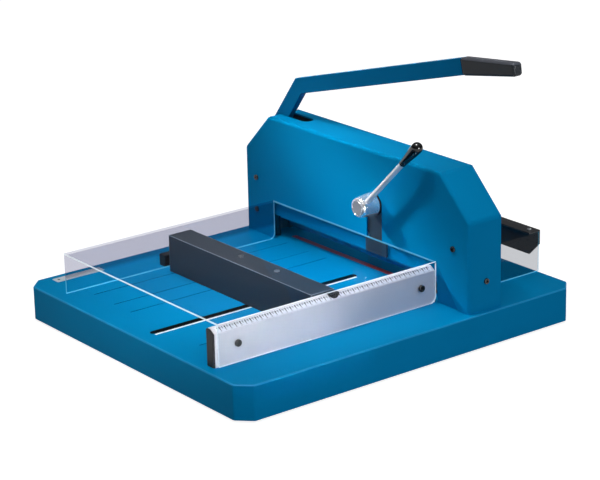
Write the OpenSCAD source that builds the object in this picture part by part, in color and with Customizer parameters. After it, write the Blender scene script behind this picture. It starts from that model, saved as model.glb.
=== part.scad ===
// Desk stack cutter: a lever swings a guillotine blade down through a clamped stack of paper.
// The origin is at the centre of the base, on the surface that it stands on. X runs along the blade,
// Y runs from the back gauge's side to the delivery side, and Z is up. Sizes are in millimetres.

/* [Base] */
// Width of the base's ledge beside the housing
base_ledge = 10; // [0:1:50]
// Depth of the base, along the feed
base_d = 716; // [700:1:800]
// Height of the table top above the floor
table_h = 64; // [58:1:90]
// Cut at the base's four upright corners
base_cut = 24; // [8:1:40]
// Wall of the base's skirt
skirt_t = 3; // [2:0.5:5]
// Thickness of the table top
table_t = 5; // [4:0.5:8]
// Height of the skirt's lower edge above the floor
skirt_gap = 4; // [2:0.5:8]
// Diameter of a rubber foot
foot_d = 36; // [24:1:50]
// Height of a rubber foot
foot_h = 14; // [10:1:18]
// Distance of a foot's centre from the base's sides
foot_inset = 60; // [40:1:90]
// Thickness of the bottom plate
bottom_t = 2; // [1.5:0.5:4]
// Width of a rib under the table
rib_w = 16; // [8:1:30]
// Distance of the near rib from the base's near edge
rib_near = 143; // [80:1:200]
// Distance of the far rib from the base's far edge
rib_far = 90; // [60:1:120]
// Width and depth of the thin lines cut in the table
line_w = 1.6; // [0.8:0.2:3]
// Places of the table lines along X
line_places = [-190, -126, -76, 126, 190]; // [-195:1:195]
// Distance of the lines' near ends from the base's near edge
line_inset = 58; // [40:1:90]
// Width of the bare plate on the table's left margin
plate_w = 20; // [10:1:30]
// Length of the bare plate
plate_l = 98; // [60:1:140]
// Thickness of the bare plate
plate_t = 0.8; // [0.4:0.1:2]
// Distance of the bare plate from the base's left side
plate_side = 15.5; // [5:0.5:30]
// Distance of the bare plate from the base's near edge
plate_near = 44; // [30:1:90]

/* [Cutting stick] */
// Length of the cutting stick
stick_l = 430; // [400:1:440]
// Width of the cutting stick
stick_w = 12; // [8:1:16]
// Height of the cutting stick
stick_h = 11; // [8:1:16]
// Wall of the holder beside and under the stick
stick_wall = 6; // [4:0.5:10]
// How far the stick's middle lies in front of the blade's edge
stick_shift = 2.5; // [0:0.5:4]

/* [Housing] */
// Depth of the housing
housing_d = 71; // [70:0.5:90]
// Height of the housing above the table
housing_h = 231; // [228:1:270]
// Distance of the housing's face from the base's middle
housing_y = 119; // [100:1:130]
// Width of the sloping cut at the housing's top corners
cut_x = 72; // [50:1:80]
// Height of the sloping cut at the housing's top corners
cut_z = 71; // [50:1:80]
// Thickness of the sheet of the covers
cover_t = 2.5; // [1.5:0.5:4]
// Height of the throat above the table
throat_h = 73; // [70:1:78]
// Width of the housing's right leg at the table, where the throat's edge slopes out
throat_leg = 27; // [24:1:70]
// Thickness of the plate that closes the throat's sloping end
throat_plate_t = 2; // [1:0.5:2.5]
// How far that plate reaches up behind the housing's face
throat_plate_lap = 12; // [6:1:20]
// Width of a side cheek inside the housing
cheek_w = 45; // [44:1:60]
// Room between the cheeks and what moves between them
works_room = 6.5; // [4:0.5:12]
// Height of a side cheek
cheek_h = 126; // [115:1:140]
// Height of the frame plate's beam above the table
beam_h = 94; // [86:1:110]
// Width of each leg of the frame plate
frame_leg = 50; // [40:1:55]

/* [Blade drive] */
// Distance of the lever's pivot left of the middle
pivot_left = 256; // [250:1:290]
// Least distance of the lever's pivot from the housing's left side
pivot_room = 54; // [44:1:60]
// Height of the two pivots above the table
pivot_h = 172; // [170:1:176]
// Distance between the two pivots
pivot_span = 375; // [340:1:390]
// Radius of the crank and of the swing link
crank_r = 75; // [65:1:76]
// Angle of the crank below the horizontal at rest
crank_drop = 30; // [26:1:32]
// How far the lever swings down from rest, in degrees
lever_down = 17; // [12:1:17]
// How far the lever swings up from rest, in degrees
lever_up = 40; // [30:1:40]
// Diameter of a pivot shaft
shaft_d = 16; // [12:1:20]
// Diameter of a carrier pin
crank_pin_d = 14; // [10:1:16]
// Wall of a bearing bush
bush_t = 3; // [2:0.5:4]
// Wall of the lever and link around a bush
eye_t = 8; // [5:0.5:10]
// Width of the blade carrier's clear gap to its neighbours
slide_gap = 1; // [0.5:0.1:1.5]
// Thickness of the blade carrier
carrier_t = 14; // [10:0.5:14]
// How far the blade carrier reaches past each end of the blade
carrier_over = 2; // [0:0.5:6]
// Room in front of the lever for the rings on its pins
ring_space = 3; // [2.5:0.5:5]
// Width of a pivot shaft's shoulder
shoulder_w = 4; // [3:0.5:6]

/* [Blade] */
// Length of the blade
blade_l = 460; // [440:1:520]
// Height of the blade
blade_h = 60; // [50:1:64]
// Thickness of the blade
blade_t = 6; // [4:0.5:7]
// Height of the ground bevel
bevel_h = 14; // [8:1:17]
// How far the blade reaches below its carrier
blade_reach = 18; // [17:0.5:24]
// Gap between the edge and the stick with the lever down
edge_gap = 0.4; // [0.3:0.1:1]
// Number of blade bolts
blade_bolts_n = 5; // [3:1:7]
// Distance of the end bolts from the blade's ends
bolt_inset = 46; // [20:1:60]
// Distance of the bolts below the blade's top
bolt_drop = 18; // [12:0.5:24]
// Thread diameter of a blade bolt
bolt_d = 8; // [6:0.5:8]
// Head diameter of a blade bolt
bolt_head_d = 13; // [10:0.5:14]
// Head height of a blade bolt
bolt_head_h = 8; // [5:0.5:9]

/* [Lever] */
// Thickness of the lever's flat bar
lever_t = 13; // [10:0.5:13]
// Width of the lever's flat bar
bar_w = 29; // [22:1:32]
// Place of the arm's lower end from the pivot, along X and Z
arm_foot = [-6.3, 19.7]; // [-10:0.1:22]
// Place of the elbow from the pivot, along X and Z
elbow = [72, 121]; // [60:0.5:125]
// Length of the bar from the elbow to the grip
bar_l = 458; // [380:1:500]
// Slope of the bar in degrees
bar_slope = 15; // [13:0.5:20]
// Length of the grip
grip_l = 127; // [100:1:160]
// Slope of the grip in degrees
grip_slope = 8; // [4:0.5:12]
// Height of the grip where it starts
grip_h0 = 31; // [26:0.5:36]
// Height of the grip at its end
grip_h1 = 23; // [20:0.5:30]
// Thickness of the grip
grip_t = 20; // [18:0.5:26]
// Height of the lever's tongue inside the grip
tongue_h = 14; // [8:0.5:16]
// Length of the lever's tongue inside the grip
tongue_l = 85; // [50:1:95]
// Room between the lever and the front edge of its slot
slot_front = 3; // [2:0.5:4]
// Room between the lever and the back edge of its slot
slot_back = 8; // [3:0.5:10]
// Reach of the lever's slot to the right of the pivot
slot_right = 96; // [90:1:110]
// Reach of the lever's slot to the left of the pivot
slot_left = 36; // [34:1:40]

/* [Clamp] */
// Height of the open clamp above the table
clamp_open = 42; // [38:0.5:46]
// Thickness of the pad under the clamp
pad_t = 2; // [1:0.5:4]
// Depth of the clamp bar's upright web
web_d = 20; // [18:0.5:20]
// Height of the clamp bar's upright web
web_h = 46; // [30:1:48]
// Height of the clamp bar's foot
clamp_foot_h = 16; // [10:1:20]
// How far the foot stops before the blade
foot_room = 2; // [1:0.5:4]
// Length of the clamp bar
clamp_l = 512; // [500:1:580]
// Diameter of a guide column
column_d = 14; // [10:0.5:14]
// Distance of the guide columns from the clamp bar's ends
column_inset = 16; // [12:0.5:20]
// Height of the guide columns above the table
column_h = 124; // [115:1:140]
// Width of the sliding plate behind the notch
slide_w = 56; // [46:1:60]
// Thickness of the sliding plate
slide_t = 4; // [3:0.5:5]
// Height of the sliding plate
slide_h = 118; // [90:1:124]

/* [Clamp lever] */
// Distance of the hub right of the middle
hub_x = 64; // [20:1:90]
// Height of the hub above the table
hub_h = 136.4; // [134:0.2:142]
// Diameter of the hub at its front
hub_d = 37; // [32:1:38]
// How much wider the hub is at its back
hub_flare = 4.6; // [0:0.2:4.6]
// Length of the hub
hub_l = 34; // [26:1:40]
// Diameter of the collar behind the hub
collar_d = 40; // [30:0.5:44]
// Clear gap between the collar and the notch
notch_gap = 0.6; // [0.4:0.1:1]
// How far the collar stands out of the housing
collar_out = 3; // [2:0.5:5]
// Diameter of the hub's spindle
spindle_d = 12; // [8:0.5:14]
// Width and thickness of the spindle's flange
flange_w = 5; // [3:0.5:6]
// Diameter of the clamp lever's rod
rod_d = 10; // [7:0.5:12]
// Angle of the rod above the horizontal
rod_angle = 43.5; // [40:0.5:60]
// Distance of the rod's axis in front of the housing
rod_out = 24.5; // [14:0.5:26]
// Distance of the knob's near end from the hub's axis
knob_start = 146; // [100:1:150]
// Length of the knob
knob_l = 62; // [50:1:80]
// Diameter of the knob's neck
knob_d0 = 12.5; // [12:0.5:16]
// Diameter of the knob's ball end
knob_d1 = 20; // [18:0.5:26]

/* [Guards] */
// Width over the two clear guards
guard_w = 454; // [450:1:460]
// Height of the guards' top above the table
guard_h = 73.5; // [72:0.5:76]
// Thickness of the clear sheet
guard_t = 3; // [2:0.5:4]
// Distance of the rear guard's end from the base's near edge
guard_inset = 25; // [21:1:40]
// Radius of the rear guard's lower corners at the housing
guard_r = 12; // [4:1:20]
// Distance of the left wall's bracket from the guard's near end
bracket_near = 208; // [60:1:300]
// Length of the bracket
bracket_l = 30; // [20:1:40]
// Height of the bracket
bracket_h = 21; // [18:1:30]
// Width of the bracket
bracket_w = 18; // [15:1:30]
// Clear gap between the housing and the front guard
front_gap = 3; // [2:0.5:6]
// Width of the front guard's lip, seen from above
lip_w = 27; // [20:1:40]
// Depth of the lip's apron
lip_h = 51; // [36:1:60]
// Thickness of the lip
lip_t = 3; // [2:0.5:4]
// Cut at the apron's lower corners
lip_cut = 25; // [10:1:32]
// Head diameter of a lip screw
lip_screw_d = 8; // [5:0.5:10]
// Head height of a lip screw
lip_screw_h = 2; // [1:0.5:3]
// Distance of the lip screws from the guard's sides
lip_screw_inset = 14; // [8:1:40]
// Height of the guard hinge above the guard's top
hinge_up = 6.5; // [6:0.5:9]
// Distance of the hinge axis behind the housing
hinge_out = 8; // [7:0.5:10]
// Diameter of a hinge knuckle
knuckle_d = 10; // [8:0.5:11]
// Diameter of a hinge pin
hinge_pin_d = 5; // [3:0.5:6]
// Distance of the two hinges from the middle
hinge_x = 170; // [120:1:185]
// Width of a hinge
hinge_w = 50; // [40:1:60]
// Thickness of a hinge bracket's plate
hinge_plate_t = 2.5; // [1.5:0.5:3]
// Height of a hinge bracket's plate above the hinge axis
hinge_plate_h = 22; // [14:1:30]
// Reach of a hinge leaf from the hinge axis
leaf_l = 40; // [24:1:50]
// Thickness of a hinge leaf
leaf_t = 2; // [1.5:0.5:3]
// Width of the knuckle on a hinge leaf
knuckle_w = 18; // [12:1:24]

/* [Side rail] */
// Width of the side rail
rail_w = 18; // [14:1:20]
// Height of the side rail
rail_h = 63.5; // [58:0.5:65]
// Width of the rail's sloping top edge
rail_slope_w = 11; // [6:0.5:12]
// Drop of the rail's sloping top edge
rail_slope_h = 7; // [4:0.5:9]
// Thickness of the rail's end cap
cap_t = 4; // [2:0.5:6]
// Thickness of the ruler strip
ruler_t = 0.6; // [0.4:0.1:1]
// Height of the rail's screws above the table
rail_screw_h = 33.4; // [20:0.2:40]
// Distance of the near rail screw from the guard's near end
rail_screw_near = 37; // [20:1:60]
// Distance of the far rail screw from the guard's far end
rail_screw_far = 33; // [20:1:60]

/* [Back gauge] */
// Place of the gauge's near face from the base's middle
gauge_y = -131; // [-200:1:-60]
// Depth of the gauge beam
gauge_d = 48; // [44:1:60]
// Wall of the gauge beam
gauge_wall = 4; // [3:0.5:5]
// Clear gap between the gauge and the table
gauge_gap = 0.3; // [0.2:0.1:0.6]
// Room between the gauge beam and the guard's top
head_room = 3; // [2.8:0.1:6]
// Clear gap between the gauge beam and the rail
gauge_side = 1; // [0.5:0.1:2]
// Room between the gauge beam's left end and the guard
gauge_left = 20; // [6:1:40]
// Middle of the gauge's slot, right of the base's middle
slot_x = 29; // [10:1:40]
// Width of the gauge's slot
slot_w = 14; // [10:0.5:18]
// Distance of the slot's near end from the base's near edge
slot_inset = 28; // [20:1:40]
// Distance of the slot's far end from the housing
slot_stop = 14; // [10:1:20]
// Middle of the two screws on the gauge
gauge_screw_x = 25; // [10:1:40]
// Distance between the two screws on the gauge
gauge_screw_span = 102; // [60:1:140]
// Distance of the two screws behind the gauge's middle line
gauge_screw_back = 4; // [0:0.5:8]
// Thread diameter of a gauge screw
gauge_screw_d = 5; // [4:0.5:6]
// Head height of a gauge screw
gauge_head_h = 1.8; // [1:0.2:2]
// Width of the pointer along the rail
pointer_w = 18; // [12:1:20]
// Thickness of the pointer
pointer_t = 3; // [1.5:0.5:3]
// Distance of the pointer's near side past the gauge's middle line
pointer_past = 3; // [-12:1:3]

/* [Fasteners] */
// Head diameter of a cover screw
cover_head_d = 10; // [8:0.5:12]
// Head height of a cover screw
cover_head_h = 3; // [2:0.5:4]
// Thread diameter of a cover screw
cover_thread_d = 5; // [3:0.5:6]
// Heights of the two rows of cover screws above the table
cover_rows = [45, 106.5]; // [40:0.5:108]
// Distance of the back cover's screws from the housing's sides
cover_inset = 34; // [20:1:38]
// Distance of the face's left screws from the housing's side
face_inset_left = 33; // [20:1:38]
// Distance of the face's right screw from the housing's side
face_inset_right = 40; // [20:1:42]
// Length of a cover screw's thread
cover_thread_l = 14; // [10:1:16]
// Head height of a guard screw
guard_head_h = 3.5; // [2:0.5:4]
// Head diameter of a guard screw
guard_head_d = 12; // [8:0.5:14]
// Clear gap around a seated pin or screw
seat_gap = 0.02; // [0.01:0.01:0.05]
// Clear gap around a turning pin
run_gap = 0.05; // [0.03:0.01:0.08]

/* [Hidden] */
$fn = 64;

// Length by which a cut runs past the face that it opens
over = 1;

// Colours as the object shows them
paint_blue = "#0a78b0";
anthracite = "#34383e";
black = "#17181a";
steel = "#b9bdc2";
dark_steel = "#5a5f66";
bright_metal = "#d5d8dc";
clear_sheet = [0.85, 0.93, 0.96, 0.35];
stick_red = "#b3202a";
bronze = "#b08d57";
silver = "#c9ccd0";
rubber_black = "#1d1e20";

// Half widths from the middle outwards: carrier, works, housing and base
carrier_l = blade_l + 2 * carrier_over;
carrier_shift = crank_r * max(cos(crank_drop) - cos(crank_drop + lever_down), 1 - cos(crank_drop));
works_x = max(clamp_l / 2, carrier_l / 2 + carrier_shift) + works_room;
housing_x = max(works_x + cheek_w + cover_t, pivot_left + pivot_room);
inner_x = housing_x - cover_t;
base_w = 2 * (housing_x + base_ledge);
column_x = clamp_l / 2 - column_inset;

// Small clear gaps between pieces that stand or move beside each other
face_gap = 0.3;

// Base levels and edges
near_edge = -base_d / 2;
far_edge = base_d / 2;
table_under = table_h - table_t;
bottom_top = foot_h + bottom_t;
skirt_in = base_w / 2 - skirt_t;

// Housing planes, from the face to the back
face_y = housing_y;
inner_y0 = face_y + cover_t;
back_y = face_y + housing_d;
inner_y1 = back_y - cover_t;
housing_top = table_h + housing_h;
throat_x = guard_w / 2;
throat_top = table_h + throat_h;

// Layers inside the housing, from the face to the back
slide_y0 = inner_y0 + slide_gap / 2;
web_y0 = slide_y0 + slide_t;
web_y1 = web_y0 + web_d;
lever_y0 = web_y1 + ring_space;
lever_y1 = lever_y0 + lever_t;
carrier_y0 = lever_y1 + slide_gap;
carrier_y1 = carrier_y0 + carrier_t;
frame_y0 = carrier_y1 + slide_gap;
blade_y0 = carrier_y0 - blade_t;
stick_y0 = blade_y0 - stick_w / 2 - stick_shift;
stick_y1 = stick_y0 + stick_w;

// Pivots of the lever and the link, and their pins in the blade carrier, as X and Z
lever_pivot = [-pivot_left, table_h + pivot_h];
link_pivot = lever_pivot + [pivot_span, 0];
crank_arm = crank_r * [cos(crank_drop), -sin(crank_drop)];
lever_pin = lever_pivot + crank_arm;
link_pin = link_pivot + crank_arm;
shaft_r = shaft_d / 2;
pin_r = crank_pin_d / 2;
shoulder_r = shaft_r + shoulder_w;
ring_r = 4;
ring_t = 1.4;
ring_room = 0.3;

// Heights that follow from the lever's swing
blade_fall = crank_r * (sin(crank_drop + lever_down) - sin(crank_drop));
blade_rise = crank_r * (sin(crank_drop) - sin(crank_drop - lever_up));
edge_z = table_h + edge_gap + blade_fall;
carrier_z0 = edge_z + blade_reach;
carrier_z1 = lever_pivot[1] - shoulder_r - blade_rise - 1.5 * slide_gap;
bolt_z = edge_z + blade_h - bolt_drop;
bolt_skin = 1;
bolt_end_gap = 0.2;

// Lever outline points, as X and Z
arm_end = lever_pivot + arm_foot;
elbow_at = lever_pivot + elbow;
bar_end = elbow_at + bar_l * [cos(bar_slope), sin(bar_slope)];
tongue_cut = 3;

// Half widths of the arm and the bar, square to each, and their mitre at the elbow
arm_slope = atan2(elbow_at[1] - arm_end[1], elbow_at[0] - arm_end[0]);
arm_side = bar_w / 2 * [-sin(arm_slope), cos(arm_slope)];
bar_side = bar_w / 2 * [-sin(bar_slope), cos(bar_slope)];
elbow_side = (arm_side + bar_side) / (1 + cos(arm_slope - bar_slope));

// Clamp levels
pad_z = table_h + clamp_open;
clamp_z0 = pad_z + pad_t;
web_z0 = clamp_z0 + clamp_foot_h;
web_z1 = web_z0 + web_h;
hub_z = table_h + hub_h;
notch_r = collar_d / 2 + notch_gap;
collar_y0 = face_y - collar_out;
hub_y1 = collar_y0 - face_gap;
hub_y0 = hub_y1 - hub_l;
hub_skin = 5;
rod_y = face_y - rod_out;
rod_wall = 2;
rod_in = spindle_d / 2 + rod_wall;
rod_seat = knob_l / 3;

// Guard and rail planes
guard_x = guard_w / 2;
guard_in = guard_x - guard_t;
guard_top = table_h + guard_h;
guard_y0 = near_edge + guard_inset;
guard_y1 = face_y - face_gap;
rail_x1 = guard_in;
rail_x0 = rail_x1 - rail_w;
rail_top = table_h + rail_h;
rail_out = 5;
rail_y0 = guard_y0 - rail_out;
front_y0 = back_y + front_gap;
front_inset = 1;
front_y1 = far_edge - front_inset;
hinge_y = back_y + hinge_out;
hinge_z = guard_top + hinge_up;
rail_screw_z = table_h + rail_screw_h;
rail_screw_ys = [guard_y0 + rail_screw_near, guard_y1 - rail_screw_far];

// Back gauge planes
beam_x0 = -guard_in + gauge_left;
beam_x1 = rail_x0 - gauge_side;
gauge_y1 = gauge_y + gauge_d;
gauge_z0 = table_h + gauge_gap;
gauge_z1 = guard_top - guard_t - head_room;
gauge_mid_y = gauge_y + gauge_d / 2;
gauge_screw_y = gauge_mid_y + gauge_screw_back;
slot_y0 = near_edge + slot_inset;
slot_y1 = face_y - slot_stop;
tongue_d = 30;
slider_t = 5;
track_wall = 2.5;
track_side = 10;
track_w = slot_w + 2 * track_side;
track_h = 19;
keeper_h = 6;
keeper_gap = 1;

// An upright outline in X and Z, drawn out along Y
module along_y(y0, y1) {
  translate([0, y1, 0]) rotate([90, 0, 0]) linear_extrude(y1 - y0) children();
}

// An upright outline in Y and Z, drawn out along X
module along_x(x0, x1) {
  translate([x0, 0, 0]) rotate([90, 0, 90]) linear_extrude(x1 - x0) children();
}

// A block between two opposite corners
module block(low, high) {
  translate(low) cube(high - low);
}

// A round bar along Y, at a place given as X and Z
module bar_y(at, r, y0, y1) {
  translate([at[0], y1, at[1]]) rotate([90, 0, 0]) cylinder(r = r, h = y1 - y0);
}

// A ring along Y
module ring_y(at, r_out, r_in, y0, y1) {
  difference() {
    bar_y(at, r_out, y0, y1);
    bar_y(at, r_in, y0 - over, y1 + over);
  }
}

// A round bar along X, at a place given as Y and Z
module bar_x(at, r, x0, x1) {
  translate([x0, at[0], at[1]]) rotate([0, 90, 0]) cylinder(r = r, h = x1 - x0);
}

// Width of a screw's socket and height of its floor, as shares of the head
socket_share = 0.5;
socket_floor = 0.4;

// A socket screw that points down, with the underside of its head at zero
module screw(head_d, head_h, thread_d, thread_l) {
  difference() {
    union() {
      cylinder(d = head_d, h = head_h);
      translate([0, 0, -thread_l]) cylinder(d = thread_d, h = thread_l + head_h / 2);
    }
    translate([0, 0, head_h * socket_floor]) cylinder(d = head_d * socket_share, h = head_h, $fn = 6);
  }
}

// A bar with round ends in a plane, between two points
module round_bar(a, b, w) {
  v = b - a;
  translate(a) circle(d = w);
  translate(b) circle(d = w);
  translate(a) rotate(atan2(v[1], v[0])) translate([0, -w / 2]) square([norm(v), w]);
}

// Outline of the base seen from above, moved in from the outside
module base_outline(inset) {
  x = base_w / 2 - inset;
  y = base_d / 2 - inset;
  c = base_cut - inset * (2 - sqrt(2));
  polygon([
    [x - c, -y], [x, c - y], [x, y - c], [x - c, y],
    [c - x, y], [-x, y - c], [-x, c - y], [c - x, -y]
  ]);
}

// Outline of the housing seen from its face, moved in from the outside, down to a given height
module housing_outline(inset, low) {
  slope = norm([cut_x, cut_z]);
  reach = (cut_z * housing_x + cut_x * (housing_top - cut_z)) / slope - inset;
  x = housing_x - inset;
  z = housing_top - inset;
  shoulder = (reach * slope - cut_z * x) / cut_x;
  top_x = (reach * slope - cut_x * z) / cut_z;
  polygon([[-x, low], [x, low], [x, shoulder], [top_x, z], [-top_x, z], [-x, shoulder]]);
}

// Places of the cover screws on the housing's face, as X and Z
function face_screws() = [
  [face_inset_left - housing_x, table_h + cover_rows[0]],
  [face_inset_left - housing_x, table_h + cover_rows[1]],
  [housing_x - face_inset_right, table_h + cover_rows[1]]
];

// Places of the cover screws on the housing's back, as X and Z
function back_screws() = [
  for (side = [-1, 1], row = cover_rows) [side * (housing_x - cover_inset), table_h + row]
];

// Place of the cover screw on each side of the housing, as Y and Z
side_screw_back = 2.5;
side_screw_up = 7;
side_screw = [(face_y + back_y) / 2 + side_screw_back, table_h + cover_rows[0] + side_screw_up];

// Holes for the cover screws, cut through the covers and into the cheeks
module cover_screw_holes() {
  r = cover_thread_d / 2 + seat_gap;
  for (p = face_screws()) bar_y(p, r, face_y - over, face_y + cover_thread_l + over);
  for (p = back_screws()) bar_y(p, r, back_y - cover_thread_l - over, back_y + over);
  for (side = [-1, 1]) {
    x = side * (housing_x + over);
    x_in = side * (housing_x - cover_thread_l - over);
    bar_x(side_screw, r, min(x, x_in), max(x, x_in));
  }
}

// Base table: a sheet-metal tray turned over, with the slots that open in its top
module base_table() {
  color(paint_blue) difference() {
    translate([0, 0, skirt_gap]) linear_extrude(table_h - skirt_gap) base_outline(0);
    translate([0, 0, skirt_gap - over])
      linear_extrude(table_under - skirt_gap + over) base_outline(skirt_t);
    block([slot_x - slot_w / 2, slot_y0 + slot_w / 2, table_under - over],
          [slot_x + slot_w / 2, slot_y1 - slot_w / 2, table_h + over]);
    for (y = [slot_y0 + slot_w / 2, slot_y1 - slot_w / 2])
      translate([slot_x, y, table_under - over]) cylinder(d = slot_w, h = table_t + 2 * over);
    block([-stick_l / 2, stick_y0, table_under - over], [stick_l / 2, stick_y1, table_h + over]);
    for (x = line_places)
      block([x - line_w / 2, near_edge + line_inset, table_h - line_w / 2],
            [x + line_w / 2, inner_y0, table_h + over]);
    for (side = [-1, 1])
      translate([side * column_x, (web_y0 + web_y1) / 2, table_under - over])
        cylinder(d = column_d + 2 * seat_gap, h = table_t + 2 * over);
  }
}

// Places of the rubber feet, as X and Y
function foot_places() = [
  for (sx = [-1, 1], sy = [-1, 1]) [sx * (base_w / 2 - foot_inset), sy * (base_d / 2 - foot_inset)]
];
foot_screw_d = 5;
foot_screw_l = 14;
foot_screw_up = 5;
foot_head_d = 10;
foot_head_h = 3;
foot_well_d = 13;

// Bottom plate that closes the base
module bottom_plate() {
  color(dark_steel) difference() {
    translate([0, 0, foot_h]) linear_extrude(bottom_t) base_outline(skirt_t);
    for (p = foot_places())
      translate([p[0], p[1], foot_h - over])
        cylinder(d = foot_screw_d + 2 * seat_gap, h = bottom_t + 2 * over);
  }
}

// Ribs that carry the table over the bottom plate, notched for the gauge's track
module base_ribs() {
  color(dark_steel) difference() {
    for (y = [near_edge + rib_near, 0, far_edge - rib_far])
      block([-skirt_in, y - rib_w / 2, bottom_top], [skirt_in, y + rib_w / 2, table_under]);
    block([slot_x - track_w / 2, slot_y0 - slot_w, table_under - track_h],
          [slot_x + track_w / 2, slot_y1 + slot_w, table_under + over]);
  }
}

// Rubber feet
module rubber_feet() {
  color(rubber_black) for (p = foot_places()) translate([p[0], p[1], 0]) difference() {
    cylinder(d = foot_d, h = foot_h);
    translate([0, 0, -over]) cylinder(d = foot_well_d, h = foot_screw_up + over);
    cylinder(d = foot_screw_d + 2 * seat_gap, h = foot_h + over);
  }
}

// Screws that hold the rubber feet
module feet_screws() {
  color(steel) for (p = foot_places())
    translate([p[0], p[1], foot_screw_up]) rotate([180, 0, 0])
      screw(foot_head_d, foot_head_h, foot_screw_d, foot_screw_l);
}

// Beam under the table with the groove that holds the cutting stick
module stick_holder() {
  color(dark_steel) difference() {
    block([-skirt_in, stick_y0 - stick_wall, table_h - stick_h - stick_wall],
          [skirt_in, stick_y1 + stick_wall, table_under]);
    block([-stick_l / 2, stick_y0, table_h - stick_h], [stick_l / 2, stick_y1, table_h]);
    for (side = [-1, 1])
      translate([side * column_x, (web_y0 + web_y1) / 2, 0]) cylinder(d = column_d + over, h = table_h);
  }
}

// Cutting stick, level with the table
module cutting_stick() {
  color(stick_red)
    block([-stick_l / 2 + seat_gap, stick_y0 + seat_gap, table_h - stick_h],
          [stick_l / 2 - seat_gap, stick_y1 - seat_gap, table_h]);
}

// Channel under the slot in which the gauge's keeper runs
module gauge_track() {
  w = track_w / 2;
  z0 = table_under - track_h;
  color(dark_steel) difference() {
    block([slot_x - w, slot_y0 - slot_w / 2, z0], [slot_x + w, slot_y1 + slot_w / 2, table_under]);
    block([slot_x - w + track_wall, slot_y0 - slot_w, z0 + track_wall],
          [slot_x + w - track_wall, slot_y1 + slot_w, table_under + over]);
  }
}

// Bare plate on the table's left margin
module name_plate() {
  x = plate_side - base_w / 2;
  y = near_edge + plate_near;
  color(silver) block([x, y, table_h], [x + plate_w, y + plate_l, table_h + plate_t]);
}

// Upright frame plate that carries both pivots
module frame_plate() {
  x = inner_x - frame_leg;
  color(dark_steel) difference() {
    along_y(frame_y0, inner_y1) housing_outline(cover_t + slide_gap, table_h);
    block([-x, frame_y0 - over, table_h - over], [x, inner_y1 + over, table_h + beam_h]);
    for (p = [lever_pivot, link_pivot]) bar_y(p, shaft_r + seat_gap, frame_y0 - over, inner_y1 + over);
    cover_screw_holes();
  }
}

// One side cheek, between the covers; side is -1 on the left and 1 on the right
module cheek(side) {
  x0 = side < 0 ? -inner_x : inner_x - cheek_w;
  color(dark_steel) difference() {
    block([x0, inner_y0, table_h], [x0 + cheek_w, frame_y0, table_h + cheek_h]);
    cover_screw_holes();
  }
}

module left_cheek() {
  cheek(-1);
}

module right_cheek() {
  cheek(1);
}

// How far the lever's slot starts below the pivot
slot_below = 4;

// The lever's slot, open through the top and the left slope
module lever_slot() {
  y0 = lever_y0 - slot_front;
  y1 = lever_y1 + slot_back;
  end_r = (y1 - y0) / 2;
  x1 = lever_pivot[0] + slot_right - end_r;
  block([lever_pivot[0] - slot_left, y0, lever_pivot[1] - slot_below], [x1, y1, housing_top + over]);
  translate([x1, y0 + end_r, lever_pivot[1]]) cylinder(r = end_r, h = housing_top - lever_pivot[1] + over);
}

// Front cover: the face with the sides, slopes and top in one shell
module front_cover() {
  color(paint_blue) difference() {
    along_y(face_y, inner_y1) housing_outline(0, table_h);
    along_y(inner_y0, back_y) housing_outline(cover_t, table_h - over);
    along_y(face_y - over, inner_y0 + over) {
      polygon([
        [-throat_x, table_h - over], [-throat_x, throat_top], [throat_x, throat_top],
        [housing_x - throat_leg, table_h], [housing_x - throat_leg, table_h - over]
      ]);
      translate([hub_x, hub_z]) circle(r = notch_r);
      translate([hub_x - notch_r, table_h]) square([2 * notch_r, hub_h]);
    }
    lever_slot();
    cover_screw_holes();
  }
}

// Plate behind the housing's face that closes the throat's sloping end, beside the right cheek
module throat_plate() {
  color(paint_blue) block([throat_x, inner_y0, table_h],
    [inner_x - cheek_w, inner_y0 + throat_plate_t, throat_top + throat_plate_lap]);
}

// Back cover with the delivery side of the throat
module back_cover() {
  color(paint_blue) difference() {
    along_y(inner_y1, back_y) housing_outline(0, table_h);
    block([-throat_x, inner_y1 - over, table_h - over], [throat_x, back_y + over, throat_top]);
    cover_screw_holes();
  }
}

// Screws of the covers, on the face, the back and the sides
module cover_screws() {
  color(black) {
    for (p = face_screws())
      translate([p[0], face_y, p[1]]) rotate([90, 0, 0])
        screw(cover_head_d, cover_head_h, cover_thread_d, cover_thread_l);
    for (p = back_screws())
      translate([p[0], back_y, p[1]]) rotate([-90, 0, 0])
        screw(cover_head_d, cover_head_h, cover_thread_d, cover_thread_l);
    for (side = [-1, 1])
      translate([side * housing_x, side_screw[0], side_screw[1]]) rotate([0, side * 90, 0])
        screw(cover_head_d, cover_head_h, cover_thread_d, cover_thread_l);
  }
}

// A pivot shaft with the shoulder that spaces its lever or link from the frame plate
module pivot_shaft(at) {
  color(steel) {
    bar_y(at, shaft_r, lever_y0 - ring_t - 2 * ring_room, inner_y1);
    bar_y(at, shoulder_r, lever_y1 + ring_room, frame_y0);
  }
}

module lever_shaft() {
  pivot_shaft(lever_pivot);
}

module link_shaft() {
  pivot_shaft(link_pivot);
}

// Rings that keep the lever and the link on their shafts
module shaft_rings() {
  color(dark_steel) for (p = [lever_pivot, link_pivot])
    ring_y(p, shaft_r + ring_r, shaft_r + seat_gap, lever_y0 - ring_t - ring_room, lever_y0 - ring_room);
}

// Columns that guide the clamp bar, seated in the table
module clamp_columns() {
  color(steel) for (side = [-1, 1])
    translate([side * column_x, (web_y0 + web_y1) / 2, table_under])
      cylinder(d = column_d, h = table_t + column_h);
}

// Section of the side rail, in X and Z
module rail_section() {
  polygon([
    [rail_x0, table_h], [rail_x1, table_h], [rail_x1, rail_top - rail_slope_h],
    [rail_x1 - rail_slope_w, rail_top], [rail_x0, rail_top]
  ]);
}

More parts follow.
